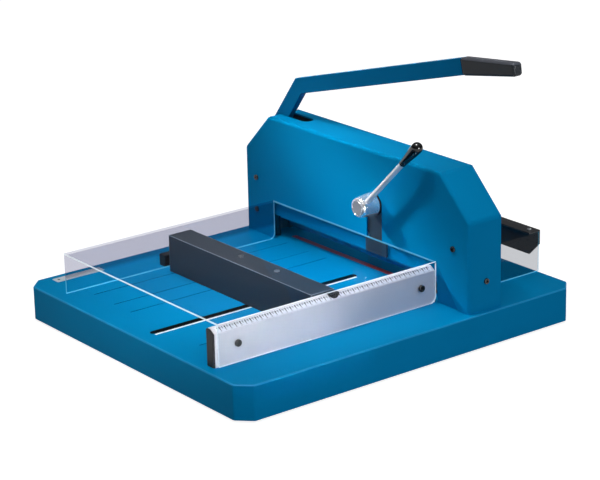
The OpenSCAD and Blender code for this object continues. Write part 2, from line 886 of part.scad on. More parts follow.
// Holes of the two screws through the guard's wall and into the rail
module rail_screw_holes() {
  for (y = rail_screw_ys)
    bar_x([y, rail_screw_z], cover_thread_d / 2 + seat_gap, rail_x1 - cover_thread_l, guard_x + over);
}

// Side rail that guides the stack
module side_rail() {
  color(bright_metal) difference() {
    along_y(rail_y0, guard_y1) rail_section();
    rail_screw_holes();
  }
}

// Black cap on the rail's near end
module rail_end_cap() {
  color(black) along_y(rail_y0 - cap_t, rail_y0) rail_section();
}

// Distances of the ruler strip from the slope's upper and lower edges and from the rail's ends
ruler_up = 0.8;
ruler_down = 1.2;
ruler_near = 6;
ruler_far = 4;

// Ruler strip on the rail's sloping edge
module ruler_strip() {
  slope = norm([rail_slope_w, rail_slope_h]);
  out = ruler_t / slope * [rail_slope_h, rail_slope_w];
  along = [rail_slope_w, -rail_slope_h] / slope;
  a = [rail_x1 - rail_slope_w, rail_top] + ruler_up * along;
  b = [rail_x1, rail_top - rail_slope_h] - ruler_down * along;
  color(silver) along_y(rail_y0 + ruler_near, guard_y1 - ruler_far) polygon([a, a + out, b + out, b]);
}

// Screws that hold the guard's wall to the rail
module rail_screws() {
  color(black) for (y = rail_screw_ys)
    translate([guard_x, y, rail_screw_z]) rotate([0, 90, 0])
      screw(guard_head_d, guard_head_h, cover_thread_d, cover_thread_l);
}

// Section of a clear guard: two walls and a top, in X and Z
module guard_section() {
  difference() {
    translate([-guard_x, table_h]) square([guard_w, guard_h]);
    translate([-guard_in, table_h - over]) square([2 * guard_in, guard_h - guard_t + over]);
  }
}

// Place of the bracket outside the guard's left wall, as Y and Z
bracket_y = [guard_y0 + bracket_near, guard_y0 + bracket_near + bracket_l];
bracket_screw_h = 13;
bracket_screw_end = 1;
bracket_screw_at = [(bracket_y[0] + bracket_y[1]) / 2, table_h + bracket_screw_h];
bracket_thread_l = guard_t + bracket_w - bracket_screw_end;

// Hole of the bracket's screw, through the guard's left wall and into the bracket
module bracket_screw_hole() {
  bar_x(bracket_screw_at, cover_thread_d / 2 + seat_gap, -guard_x - bracket_w - over, -guard_in + over);
}

// Rear guard over the back gauge, open at its near end
module rear_guard() {
  color(clear_sheet) difference() {
    intersection() {
      along_y(guard_y0, guard_y1) guard_section();
      along_x(-guard_x - over, guard_x + over) {
        translate([guard_y0, table_h]) square([guard_y1 - guard_y0 - guard_r, guard_h]);
        translate([guard_y0, table_h + guard_r]) square([guard_y1 - guard_y0, guard_h]);
        translate([guard_y1 - guard_r, table_h + guard_r]) circle(r = guard_r);
      }
    }
    rail_screw_holes();
    bracket_screw_hole();
  }
}

// Bracket that holds the guard's left wall to the table
module guard_bracket() {
  color(black) difference() {
    block([-guard_x - bracket_w, bracket_y[0], table_h], [-guard_x, bracket_y[1], table_h + bracket_h]);
    bracket_screw_hole();
  }
}

// Screw of the guard bracket
module bracket_screw() {
  color(steel) translate([-guard_x - bracket_w, bracket_screw_at[0], bracket_screw_at[1]])
    rotate([0, -90, 0]) screw(cover_head_d, cover_head_h, cover_thread_d, bracket_thread_l);
}

// Signs of the two hinges along X
hinge_sides = [-1, 1];

// Brackets on the back cover, each with two knuckles of the guard's hinge
module hinge_brackets() {
  r = knuckle_d / 2;
  color(black) for (side = hinge_sides) translate([side * hinge_x, 0, 0]) difference() {
    union() {
      block([-hinge_w / 2, back_y, hinge_z - r],
            [hinge_w / 2, back_y + hinge_plate_t, hinge_z + hinge_plate_h]);
      for (end = [-1, 1]) {
        x0 = end < 0 ? -hinge_w / 2 : knuckle_w / 2 + ring_room;
        x1 = end < 0 ? -knuckle_w / 2 - ring_room : hinge_w / 2;
        bar_x([hinge_y, hinge_z], r, x0, x1);
        block([x0, back_y, hinge_z - r / 2], [x1, hinge_y, hinge_z + r / 2]);
      }
    }
    bar_x([hinge_y, hinge_z], hinge_pin_d / 2 + seat_gap, -hinge_w, hinge_w);
  }
}

// Pins of the guard's hinges
module hinge_pins() {
  color(steel) for (side = hinge_sides)
    bar_x([hinge_y, hinge_z], hinge_pin_d / 2, side * hinge_x - hinge_w / 2, side * hinge_x + hinge_w / 2);
}

// Radius of an eye around a bush
lever_eye = shaft_r + bush_t + eye_t;
pin_eye = pin_r + bush_t + eye_t;

// Lever: one flat bar with its hub, crank, arm and handle bar
module lever_arm() {
  color(paint_blue) difference() {
    union() {
      along_y(lever_y0, lever_y1) {
        translate(lever_pivot) circle(r = lever_eye);
        round_bar(lever_pivot, lever_pin, 2 * pin_eye);
        translate(arm_end) circle(d = bar_w);
        polygon([
          arm_end + arm_side, elbow_at + elbow_side, bar_end + bar_side,
          bar_end - bar_side, elbow_at - elbow_side, arm_end - arm_side
        ]);
      }
      along_y(lever_y0 + tongue_cut, lever_y1 - tongue_cut)
        translate(bar_end) rotate(grip_slope) translate([-bar_w / 4, -tongue_h / 2])
          square([bar_w / 4 + tongue_l, tongue_h]);
    }
    bar_y(lever_pivot, shaft_r + bush_t + seat_gap, lever_y0 - over, lever_y1 + over);
    bar_y(lever_pin, pin_r + bush_t + seat_gap, lever_y0 - over, lever_y1 + over);
  }
}

// Grip: a tapered handle pushed over the lever's tongue
module lever_grip() {
  mid = (lever_y0 + lever_y1) / 2;
  tip = grip_h1 / 4;
  color(anthracite) difference() {
    along_y(mid - grip_t / 2, mid + grip_t / 2) translate(bar_end) rotate(grip_slope) {
      polygon([
        [-bar_w / 4, -grip_h0 / 2], [grip_l - tip, -grip_h1 / 2], [grip_l, tip - grip_h1 / 2],
        [grip_l, grip_h1 / 2 - tip], [grip_l - tip, grip_h1 / 2], [-bar_w / 4, grip_h0 / 2]
      ]);
      for (side = [-1, 1]) translate([grip_l - tip, side * (grip_h1 / 2 - tip)]) circle(r = tip);
    }
    along_y(lever_y0 + tongue_cut - seat_gap, lever_y1 - tongue_cut + seat_gap)
      translate(bar_end) rotate(grip_slope) translate([-bar_w / 2, -tongue_h / 2 - seat_gap])
        square([bar_w / 2 + tongue_l + seat_gap, tongue_h + 2 * seat_gap]);
    along_y(mid - grip_t, mid + grip_t)
      translate(bar_end) rotate(bar_slope) translate([-grip_l, -grip_h0]) square([grip_l, 2 * grip_h0]);
  }
}

// Bushes in the lever's hub and crank
module lever_bushes() {
  color(bronze) {
    ring_y(lever_pivot, shaft_r + bush_t, shaft_r + run_gap, lever_y0, lever_y1);
    ring_y(lever_pin, pin_r + bush_t, pin_r + run_gap, lever_y0, lever_y1);
  }
}

// Places of the blade bolts along X
bolt_span = blade_l - 2 * bolt_inset;
blade_bolt_xs = [for (i = [0 : blade_bolts_n - 1]) (i / (blade_bolts_n - 1) - 0.5) * bolt_span];

// Blade carrier: a bar with two lugs that hang on the carrier pins
module blade_carrier() {
  lug_w = 2 * pin_eye;
  color(dark_steel) difference() {
    along_y(carrier_y0, carrier_y1) {
      translate([-carrier_l / 2, carrier_z0]) square([carrier_l, carrier_z1 - carrier_z0]);
      for (p = [lever_pin, link_pin]) {
        translate(p) circle(d = lug_w);
        translate([p[0] - lug_w / 2, carrier_z0]) square([lug_w, p[1] - carrier_z0]);
      }
    }
    for (p = [lever_pin, link_pin]) bar_y(p, pin_r + seat_gap, carrier_y0 - over, carrier_y1 + over);
    for (x = blade_bolt_xs) {
      bar_y([x, bolt_z], bolt_d / 2 + seat_gap, carrier_y0 - over, carrier_y1 + over);
      bar_y([x, bolt_z], bolt_head_d / 2 + seat_gap, carrier_y1 - bolt_head_h, carrier_y1 + over);
    }
  }
}

// Blade, flat towards the clamp and ground on the delivery side
module blade() {
  color(bright_metal) difference() {
    along_x(-blade_l / 2, blade_l / 2) polygon([
      [blade_y0, edge_z], [carrier_y0, edge_z + bevel_h],
      [carrier_y0, edge_z + blade_h], [blade_y0, edge_z + blade_h]
    ]);
    for (x = blade_bolt_xs)
      bar_y([x, bolt_z], bolt_d / 2 + seat_gap, blade_y0 + bolt_skin, carrier_y0 + over);
  }
}

// Bolts that hold the blade, sunk in the back of the carrier
module blade_bolts() {
  color(steel) for (x = blade_bolt_xs)
    translate([x, carrier_y1 - bolt_head_h, bolt_z]) rotate([-90, 0, 0])
      screw(bolt_head_d, bolt_head_h, bolt_d, carrier_t - bolt_head_h + blade_t - bolt_skin - bolt_end_gap);
}

// Pins that join the carrier to the crank and the swing link
module carrier_pins() {
  color(steel) for (p = [lever_pin, link_pin])
    bar_y(p, pin_r, lever_y0 - ring_t - 2 * ring_room, carrier_y1);
}

// Rings on the front ends of the carrier pins
module pin_rings() {
  color(dark_steel) for (p = [lever_pin, link_pin])
    ring_y(p, pin_r + ring_r, pin_r + seat_gap, lever_y0 - ring_t - ring_room, lever_y0 - ring_room);
}

// Swing link: keeps the carrier level, turning with the crank
module swing_link() {
  color(dark_steel) difference() {
    along_y(lever_y0, lever_y1) round_bar(link_pivot, link_pin, 2 * lever_eye);
    bar_y(link_pivot, shaft_r + bush_t + seat_gap, lever_y0 - over, lever_y1 + over);
    bar_y(link_pin, pin_r + bush_t + seat_gap, lever_y0 - over, lever_y1 + over);
  }
}

// Bushes in the swing link
module link_bushes() {
  color(bronze) {
    ring_y(link_pivot, shaft_r + bush_t, shaft_r + run_gap, lever_y0, lever_y1);
    ring_y(link_pin, pin_r + bush_t, pin_r + run_gap, lever_y0, lever_y1);
  }
}

// Places of the screws that hold the sliding plate to the clamp bar, as X and Z
slide_screw_d = 5;
slide_screw_l = 10;
slide_screw_inset = 6;
slide_screw_z = web_z0 + web_h / 3;
slide_screws_at = [for (side = [-1, 1]) [hub_x + side * (slide_w / 2 - slide_screw_inset), slide_screw_z]];
slide_z1 = clamp_z0 + slide_h;

// Clamp bar: a web with a wide foot, running on the two columns
module clamp_bar() {
  color(dark_steel) difference() {
    union() {
      block([-clamp_l / 2, web_y0, clamp_z0], [clamp_l / 2, web_y1, web_z1]);
      block([-clamp_l / 2, web_y0, clamp_z0], [clamp_l / 2, blade_y0 - foot_room, web_z0]);
    }
    for (side = [-1, 1])
      translate([side * column_x, (web_y0 + web_y1) / 2, 0])
        cylinder(d = column_d + 2 * run_gap, h = housing_top);
    for (p = slide_screws_at)
      bar_y(p, slide_screw_d / 2 + seat_gap, web_y0 - over, web_y0 + slide_screw_l);
  }
}

// Pad under the clamp's foot
module clamp_pad() {
  color(rubber_black) block([-stick_l / 2, web_y0, pad_z], [stick_l / 2, blade_y0 - foot_room, clamp_z0]);
}

// Sliding plate seen through the notch, which carries the hub's spindle
module slide_plate() {
  color(dark_steel) difference() {
    block([hub_x - slide_w / 2, slide_y0, clamp_z0], [hub_x + slide_w / 2, web_y0, slide_z1]);
    bar_y([hub_x, hub_z], spindle_d / 2 + seat_gap, slide_y0 - over, web_y0 + over);
    for (p = slide_screws_at) {
      bar_y(p, slide_screw_d / 2 + seat_gap, slide_y0 - over, web_y0 + over);
      bar_y(p, slide_screw_d + seat_gap, slide_y0 - over, slide_y0 + slide_t / 2);
    }
  }
}

// Screws that hold the sliding plate, sunk level with its face
module slide_screws() {
  color(steel) for (p = slide_screws_at)
    translate([p[0], slide_y0 + slide_t / 2, p[1]]) rotate([90, 0, 0])
      screw(2 * slide_screw_d, slide_t / 2, slide_screw_d, slide_screw_l - slide_t / 2);
}

// Spindle on which the clamp lever turns, with a flange behind the plate
module clamp_spindle() {
  color(steel) {
    bar_y([hub_x, hub_z], spindle_d / 2, hub_y0 + hub_skin + ring_room, web_y0 + flange_w);
    bar_y([hub_x, hub_z], spindle_d / 2 + flange_w, web_y0, web_y0 + flange_w);
  }
}

// Black collar that runs in the notch
module clamp_collar() {
  color(black) ring_y([hub_x, hub_z], collar_d / 2, spindle_d / 2 + seat_gap, collar_y0, slide_y0);
}

// A shape on the clamp lever's own axis, which leaves the hub upwards to the right
module on_rod() {
  translate([hub_x, rod_y, hub_z]) rotate([0, 90 - rod_angle, 0]) children();
}

// Edge chamfers at the hub's back and front
hub_back_edge = 1;
hub_front_edge = 2;

// Hub of the clamp lever, a little wider at its back
module clamp_hub() {
  front_r = hub_d / 2;
  back_r = front_r + hub_flare / 2;
  color(bright_metal) difference() {
    translate([hub_x, hub_y1, hub_z]) rotate([90, 0, 0]) rotate_extrude()
      polygon([
        [0, 0], [back_r - hub_back_edge, 0], [back_r, hub_back_edge],
        [front_r, hub_l - hub_front_edge], [front_r - hub_front_edge, hub_l], [0, hub_l]
      ]);
    bar_y([hub_x, hub_z], spindle_d / 2 + run_gap, hub_y0 + hub_skin, hub_y1 + over);
    on_rod() translate([0, 0, rod_in]) cylinder(d = rod_d + 2 * seat_gap, h = hub_d);
  }
}

// Rod of the clamp lever
module clamp_rod() {
  color(bright_metal) on_rod() translate([0, 0, rod_in])
    cylinder(d = rod_d, h = knob_start + rod_seat - rod_in);
}

// Knob on the clamp lever's end: a tapered neck that swells into a ball
module clamp_knob() {
  r0 = knob_d0 / 2;
  r1 = knob_d1 / 2;
  steps = 12;
  swell = [
    for (i = [0 : steps])
      let (t = i / steps, s = t * t * (3 - 2 * t)) [r0 + (r1 - r0) * s, t * (knob_l - r1)]
  ];
  dome = [for (i = [1 : steps - 1]) [r1 * cos(90 * i / steps), knob_l - r1 + r1 * sin(90 * i / steps)]];
  color(black) on_rod() translate([0, 0, knob_start]) difference() {
    rotate_extrude() polygon(concat([[0, 0]], swell, dome, [[0, knob_l]]));
    translate([0, 0, -over]) cylinder(d = rod_d + 2 * seat_gap, h = rod_seat + over);
  }
}

// Places of the two screws on the gauge along X
gauge_screw_xs = [gauge_screw_x - gauge_screw_span / 2, gauge_screw_x + gauge_screw_span / 2];
gauge_screw_l = 16;
gauge_screw_end = 2;
gauge_post_d = 16;

// Back gauge beam, a hollow box open below
module gauge_beam() {
  w = gauge_wall;
  color(anthracite) difference() {
    block([beam_x0, gauge_y, gauge_z0], [beam_x1, gauge_y1, gauge_z1]);
    block([beam_x0 + w, gauge_y + w, gauge_z0 - over], [beam_x1 - w, gauge_y1 - w, gauge_z1 - w]);
    for (x = gauge_screw_xs)
      translate([x, gauge_screw_y, gauge_z0]) cylinder(d = gauge_screw_d + 2 * seat_gap, h = gauge_z1);
  }
}

// Slider inside the beam, with its tongue in the slot and two posts for the screws
module gauge_slider() {
  half = gauge_screw_span / 2 + gauge_post_d;
  post_top = gauge_z1 - gauge_wall;
  color(steel) difference() {
    union() {
      block([gauge_screw_x - half, gauge_y + gauge_wall + seat_gap, gauge_z0],
            [gauge_screw_x + half, gauge_y1 - gauge_wall - seat_gap, gauge_z0 + slider_t]);
      block([slot_x - slot_w / 2 + face_gap, gauge_mid_y - tongue_d / 2, table_under - face_gap],
            [slot_x + slot_w / 2 - face_gap, gauge_mid_y + tongue_d / 2, gauge_z0 + over]);
      for (x = gauge_screw_xs)
        translate([x, gauge_screw_y, gauge_z0]) cylinder(d = gauge_post_d, h = post_top - gauge_z0);
    }
    for (x = gauge_screw_xs)
      translate([x, gauge_screw_y, post_top - gauge_screw_l])
        cylinder(d = gauge_screw_d + 2 * seat_gap, h = gauge_screw_l + over);
  }
}

// Keeper under the table that holds the slider down
module gauge_keeper() {
  keeper_w = track_w - 2 * track_wall - 2 * keeper_gap;
  z1 = table_under - face_gap;
  color(dark_steel)
    block([slot_x - keeper_w / 2, gauge_mid_y - tongue_d / 2, z1 - keeper_h],
          [slot_x + keeper_w / 2, gauge_mid_y + tongue_d / 2, z1]);
}

// Screws on the back gauge
module gauge_screws() {
  color(black) for (x = gauge_screw_xs)
    translate([x, gauge_screw_y, gauge_z1])
      screw(2 * gauge_screw_d, gauge_head_h, gauge_screw_d, gauge_wall + gauge_screw_l - gauge_screw_end);
}

// Gaps of the pointer over the rail and beside the guard, and the drop of its flap on the beam's end
pointer_gap = 0.5;
pointer_end = 1;
flap_drop = 6;

// Pointer of the back gauge, with a round nose that hangs over the ruler
module gauge_pointer() {
  y0 = gauge_mid_y + pointer_past;
  y1 = y0 + pointer_w;
  z0 = rail_top + pointer_gap;
  z1 = z0 + pointer_t;
  slope_x = rail_x1 - rail_slope_w;
  nose_x = guard_in - pointer_end;
  nose_z = z0 + ruler_t - (nose_x - slope_x) * rail_slope_h / rail_slope_w;
  color(black) {
    block([beam_x1, y0, z0 - flap_drop], [rail_x0 - face_gap, y1, z1]);
    intersection() {
      along_y(y0, y1) polygon([
        [beam_x1, z0], [slope_x, z0 + ruler_t], [nose_x, nose_z], [nose_x, z1], [beam_x1, z1]
      ]);
      bar_x([(y0 + y1) / 2, z1], pointer_w / 2, beam_x1 - over, nose_x + over);
    }
  }
}

// Height of the front guard's walls above the table
front_lift = 0.5;

// Front guard over the delivery side, which swings up
module front_guard() {
  color(clear_sheet) along_y(front_y0, front_y1) intersection() {
    guard_section();
    translate([-guard_x, table_h + front_lift]) square([guard_w, guard_h]);
  }
}

// Black lip along the front guard's far end
module guard_lip() {
  z1 = guard_top + lip_t;
  color(black) {
    block([-guard_x, front_y1 + lip_t - lip_w, guard_top], [guard_x, front_y1 + lip_t, z1]);
    along_y(front_y1, front_y1 + lip_t) polygon([
      [-guard_x, z1], [-guard_x, z1 - lip_h + lip_cut], [-guard_x + lip_cut, z1 - lip_h],
      [guard_x - lip_cut, z1 - lip_h], [guard_x, z1 - lip_h + lip_cut], [guard_x, z1]
    ]);
  }
}

// Room between a hinge leaf and the knuckles
leaf_gap = 1;

// Leaves of the hinges on the front guard's top
module hinge_leaves() {
  r = knuckle_d / 2;
  color(black) for (side = hinge_sides) translate([side * hinge_x, 0, 0]) difference() {
    union() {
      block([-hinge_w / 2, hinge_y + r + leaf_gap, guard_top],
            [hinge_w / 2, hinge_y + leaf_l, guard_top + leaf_t]);
      bar_x([hinge_y, hinge_z], r, -knuckle_w / 2, knuckle_w / 2);
      block([-knuckle_w / 2, hinge_y, guard_top], [knuckle_w / 2, hinge_y + r + 2 * leaf_gap, hinge_z]);
    }
    bar_x([hinge_y, hinge_z], hinge_pin_d / 2 + run_gap, -hinge_w, hinge_w);
  }
}

// Screws on the lip's top, near its two ends
module lip_screws() {
  color(steel) for (side = hinge_sides)
    translate([side * (guard_x - lip_screw_inset), front_y1 + lip_t - lip_w / 2, guard_top + lip_t])
      cylinder(d = lip_screw_d, h = lip_screw_h);
}

base_table();
bottom_plate();
base_ribs();
rubber_feet();
feet_screws();
stick_holder();
cutting_stick();
gauge_track();
name_plate();
frame_plate();
left_cheek();
right_cheek();
front_cover();
throat_plate();
back_cover();
cover_screws();
lever_shaft();
link_shaft();
shaft_rings();
clamp_columns();
side_rail();
rail_end_cap();
ruler_strip();
rail_screws();
rear_guard();
guard_bracket();
bracket_screw();
hinge_brackets();
hinge_pins();
lever_arm();
lever_grip();
lever_bushes();
blade_carrier();
blade();
blade_bolts();
carrier_pins();
pin_rings();
swing_link();
link_bushes();
clamp_bar();
clamp_pad();
slide_plate();
slide_screws();
clamp_spindle();
clamp_collar();
clamp_hub();
clamp_rod();
clamp_knob();
gauge_beam();
gauge_slider();
gauge_keeper();
gauge_screws();
gauge_pointer();
front_guard();
guard_lip();
hinge_leaves();
lip_screws();
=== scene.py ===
"""Looks of the stack cutter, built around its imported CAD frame."""

import logging
import math
from collections.abc import Callable
from dataclasses import dataclass, field, replace
from enum import Enum, IntEnum
from typing import Any

import bmesh
import bpy
from mathutils import Matrix, Vector


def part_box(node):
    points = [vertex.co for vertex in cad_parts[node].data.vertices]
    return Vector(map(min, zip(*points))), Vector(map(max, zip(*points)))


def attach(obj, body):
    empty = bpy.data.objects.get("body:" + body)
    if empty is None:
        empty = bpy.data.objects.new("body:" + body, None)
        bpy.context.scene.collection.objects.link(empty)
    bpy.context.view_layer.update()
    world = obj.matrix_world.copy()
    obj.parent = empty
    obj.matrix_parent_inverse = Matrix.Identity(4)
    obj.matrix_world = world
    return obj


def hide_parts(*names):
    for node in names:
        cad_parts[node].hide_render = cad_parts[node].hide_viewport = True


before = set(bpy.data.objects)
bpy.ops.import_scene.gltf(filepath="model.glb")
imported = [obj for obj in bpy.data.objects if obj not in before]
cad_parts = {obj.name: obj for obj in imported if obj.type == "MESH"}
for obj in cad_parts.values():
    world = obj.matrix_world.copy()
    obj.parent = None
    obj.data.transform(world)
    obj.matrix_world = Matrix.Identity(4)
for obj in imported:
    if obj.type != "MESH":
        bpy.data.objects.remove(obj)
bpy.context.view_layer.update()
log = logging.getLogger("stack_cutter")

Colour = tuple[float, float, float, float]
Triple = tuple[float, float, float]
Pairs = tuple[tuple[float, float], ...]
Tree = bpy.types.NodeTree
Socket = bpy.types.NodeSocket
Piece = bpy.types.Object
Shape = bmesh.types.BMesh
Edge = bmesh.types.BMEdge
Face = bmesh.types.BMFace

MM = 0.001
# Points of a CAD mesh that lie nearer than this are one point
JOIN_MM = 0.002
# CAD faces that turn by less than this are one flat face
FLAT_DEG = 0.4
# An edge can be rounded where it turns by more than this
TURN_DEG = 25.0
# The shading breaks where an edge turns by more than this
SHARP_DEG = 38.0
# A face that is narrower than this is the rim of a bent sheet
RIM_MM = 8.0
# A normal looks along an axis from the first share of it, and sideways to it up to the second
FACING = 0.9
SIDEWAYS = 0.1


class Body(Enum):
    """The bodies that pieces ride on."""

    BASE = "base"
    LEVER = "lever"
    CARRIER = "blade_carrier"
    LINK = "swing_link"
    CLAMP = "clamp"
    CLAMP_LEVER = "clamp_lever"
    GAUGE = "back_gauge"
    FRONT_GUARD = "front_guard"


class Slot(Enum):
    """The record's material slots."""

    BLUE_PAINT = "blue_paint"
    PLAIN_STEEL = "plain_steel"
    DARK_STEEL = "dark_steel"
    BLADE_STEEL = "blade_steel"
    CHROME = "chrome"
    RAIL = "rail_aluminium"
    RULER = "ruler_face"
    PLATE = "plate_silver"
    ACRYLIC = "clear_acrylic"
    BLACK_PLASTIC = "black_plastic"
    BLACK_STEEL = "black_steel"
    KNOB = "knob_black"
    ANTHRACITE = "anthracite_paint"
    GRIP = "grip_plastic"
    STICK = "stick_red"
    RUBBER = "foot_rubber"
    BRONZE = "bronze"


class Along(Enum):
    """The direction that a brushed metal's lines run in."""

    X = 0
    Y = 1
    Z = 2


class TablePart(IntEnum):
    """The parts of the table's skin, by material number."""

    COAT = 0
    BEND = 1
    LINE = 2
    SLOT = 3


class SheetPart(IntEnum):
    """The parts of a clear guard, by material number; a rounded edge takes its number later."""

    TOP = 0
    POLISHED_EDGE = 1
    LEFT_WALL = 2
    RIGHT_WALL = 3
    PLAIN_EDGE = 4
    ROUNDED_EDGE = 5


def linear(colour: str) -> Colour:
    """Turns an sRGB hex colour to linear light.

    Args:
        colour: The colour as "#rrggbb".

    Returns:
        Linear red, green, blue and an alpha of 1.
    """
    parts = [int(colour[i : i + 2], 16) / 255 for i in (1, 3, 5)]
    light = [c / 12.92 if c <= 0.04045 else ((c + 0.055) / 1.055) ** 2.4 for c in parts]
    return (light[0], light[1], light[2], 1.0)


def per_metre(size_mm: float) -> float:
    """Gives a pattern's scale from the size of one of its features in millimetres."""
    return 1.0 / (size_mm * MM)


def add_node(
    tree: Tree,
    kind: str,
    values: dict[Any, Any] | None = None,
    links: dict[Any, Socket] | None = None,
    **settings: Any,
) -> bpy.types.Node:
    """Adds a node with its settings and links.

    Args:
        tree: The tree that takes the node.
        kind: The node's type name.
        values: Plain values by input name or number.
        links: Output sockets by the input that they feed.
        **settings: The node's own properties.

    Returns:
        The new node.
    """
    node = tree.nodes.new(kind)
    for key, value in settings.items():
        setattr(node, key, value)
    for key, value in (values or {}).items():
        node.inputs[key].default_value = value
    for key, socket in (links or {}).items():
        tree.links.new(socket, node.inputs[key])
    return node


def bare_tree(owner: bpy.types.Material | bpy.types.World) -> Tree:
    """Gives a new material or world a tree without nodes.

    Args:
        owner: The material or world.

    Returns:
        The tree.
    """
    owner.use_nodes = True
    owner.node_tree.nodes.clear()
    return owner.node_tree


@dataclass(frozen=True)
class Finish:
    """A finish: its material's name, the record's slot that it is meant for, its colour and roughness."""

    name: str
    slot: Slot
    colour: str
    rough: float

    def material(self) -> bpy.types.Material:
        """Makes the finish's material on its first use.

        Returns:
            The material.
        """
        made = bpy.data.materials.get(self.name)
        if made is None:
            made = bpy.data.materials.new(self.name)
            self.wire(bare_tree(made))
        return made

    def wire(self, tree: Tree) -> None:
        """Builds the material's nodes in an empty tree."""
        raise NotImplementedError


@dataclass(frozen=True, kw_only=True)
class Patterned(Finish):
    """A solid finish, whose pattern gives its shades, its roughness and a fine relief."""

    pale: str
    relief_mm: float = 0.02
    strength: float = 0.6
    spread: float = 0.06

    def surface(self, tree: Tree, shade: Socket, grain: Socket, values: dict[str, Any]) -> None:
        """Wires a pattern to the surface.

        Args:
            tree: The material's tree.
            shade: What blends the colour with the paler one.
            grain: What gives the roughness and the relief.
            values: The shader's own values.
        """
        ends = {6: linear(self.colour), 7: linear(self.pale)}
        tone = add_node(tree, "ShaderNodeMix", ends, {0: shade}, data_type="RGBA")
        span = {"To Min": self.rough - self.spread, "To Max": self.rough + self.spread}
        sheen = add_node(tree, "ShaderNodeMapRange", span, {"Value": grain})
        depth = {"Strength": self.strength, "Distance": self.relief_mm * MM}
        relief = add_node(tree, "ShaderNodeBump", depth, {"Height": grain})
        links = {"Base Color": tone.outputs[2], "Roughness": sheen.outputs[0], "Normal": relief.outputs[0]}
        shader = add_node(tree, "ShaderNodeBsdfPrincipled", values, links)
        add_node(tree, "ShaderNodeOutputMaterial", links={"Surface": shader.outputs[0]})


@dataclass(frozen=True, kw_only=True)
class GrainedCoat(Patterned):
    """Paint, moulded plastic or rubber: an even colour with clouds in it and a fine raised grain.

    A real grain is well under 1 mm and too fine to show, so it is drawn coarser.
    """

    grain_mm: float
    cloud_mm: float = 160.0
    gloss: float = 0.3
    # A painted glow, which the acrylic's edges take
    glow: float = 0.0
    cover: float = 1.0

    def wire(self, tree: Tree) -> None:
        """Builds clouds for the colour, and one grain for the relief and the roughness.

        Args:
            tree: The empty tree.
        """
        spot = {"Vector": add_node(tree, "ShaderNodeTexCoord").outputs["Object"]}
        broad = {"Scale": per_metre(self.cloud_mm), "Detail": 2.0}
        fine = {"Scale": per_metre(self.grain_mm), "Detail": 3.0, "Roughness": 0.6}
        cloud, grain = (add_node(tree, "ShaderNodeTexNoise", v, spot).outputs[0] for v in (broad, fine))
        look = {
            "Specular IOR Level": self.gloss,
            "Emission Color": linear(self.pale),
            "Emission Strength": self.glow,
            "Alpha": self.cover,
        }
        self.surface(tree, cloud, grain, look)


@dataclass(frozen=True, kw_only=True)
class LinedMetal(Patterned):
    """Brushed, drawn or ground metal: fine lines that run one way.

    Real lines are about 0.1 mm apart and too fine to show, so they are drawn at least ten times as coarse.
    """

    along: Along
    line_mm: float
    run_mm: float = 90.0
    strength: float = 0.4
    spread: float = 0.08
    metallic: float = 1.0

    def wire(self, tree: Tree) -> None:
        """Builds noise that is drawn out along the lines, for colour, relief and roughness.

        Args:
            tree: The empty tree.
        """
        scale = [per_metre(self.line_mm)] * 3
        scale[self.along.value] = per_metre(self.run_mm)
        spot = add_node(tree, "ShaderNodeTexCoord").outputs["Object"]
        drawn = add_node(tree, "ShaderNodeMapping", {"Scale": scale}, {"Vector": spot}).outputs[0]
        fine = {"Scale": 1.0, "Detail": 3.0, "Roughness": 0.6}
        lines = add_node(tree, "ShaderNodeTexNoise", fine, {"Vector": drawn}).outputs[0]
        self.surface(tree, lines, lines, {"Metallic": self.metallic})


@dataclass(frozen=True)
class ClearSheet(Finish):
    """Clear sheet: what is behind it shows through its tint, and it mirrors more at a flat angle."""

    straight: float = 0.01
    grazing: float = 0.18
    steepness: float = 5.0
    smear_mm: float = 70.0

    def wire(self, tree: Tree) -> None:
        """Builds a see-through tint, and a mirror with faint smears that grows with the angle.

        Args:
            tree: The empty tree.
        """
        spot = add_node(tree, "ShaderNodeTexCoord").outputs["Object"]
        broad = {"Scale": per_metre(self.smear_mm), "Detail": 2.0}
        smear = add_node(tree, "ShaderNodeTexNoise", broad, {"Vector": spot}).outputs[0]
        sheen = add_node(tree, "ShaderNodeMapRange", {"To Max": self.rough}, {"Value": smear}).outputs[0]
        white = {"Color": linear("#ffffff")}
        mirror = add_node(tree, "ShaderNodeBsdfGlossy", white, {"Roughness": sheen}).outputs[0]
        flat = add_node(tree, "ShaderNodeLayerWeight", {"Blend": 0.5}).outputs["Facing"]
        rise = add_node(tree, "ShaderNodeMath", {1: self.steepness}, {0: flat}, operation="POWER").outputs[0]
        ends = {1: self.grazing, 2: self.straight}
        share = add_node(tree, "ShaderNodeMath", ends, {0: rise}, operation="MULTIPLY_ADD").outputs[0]
        both = add_node(tree, "ShaderNodeMixShader", links={0: share, 1: self.tint(tree, spot), 2: mirror})
        add_node(tree, "ShaderNodeOutputMaterial", links={"Surface": both.outputs[0]})

    def tint(self, tree: Tree, spot: Socket) -> Socket:
        """Adds the see-through shader, in an even tint."""
        return add_node(tree, "ShaderNodeBsdfTransparent", {"Color": linear(self.colour)}).outputs[0]


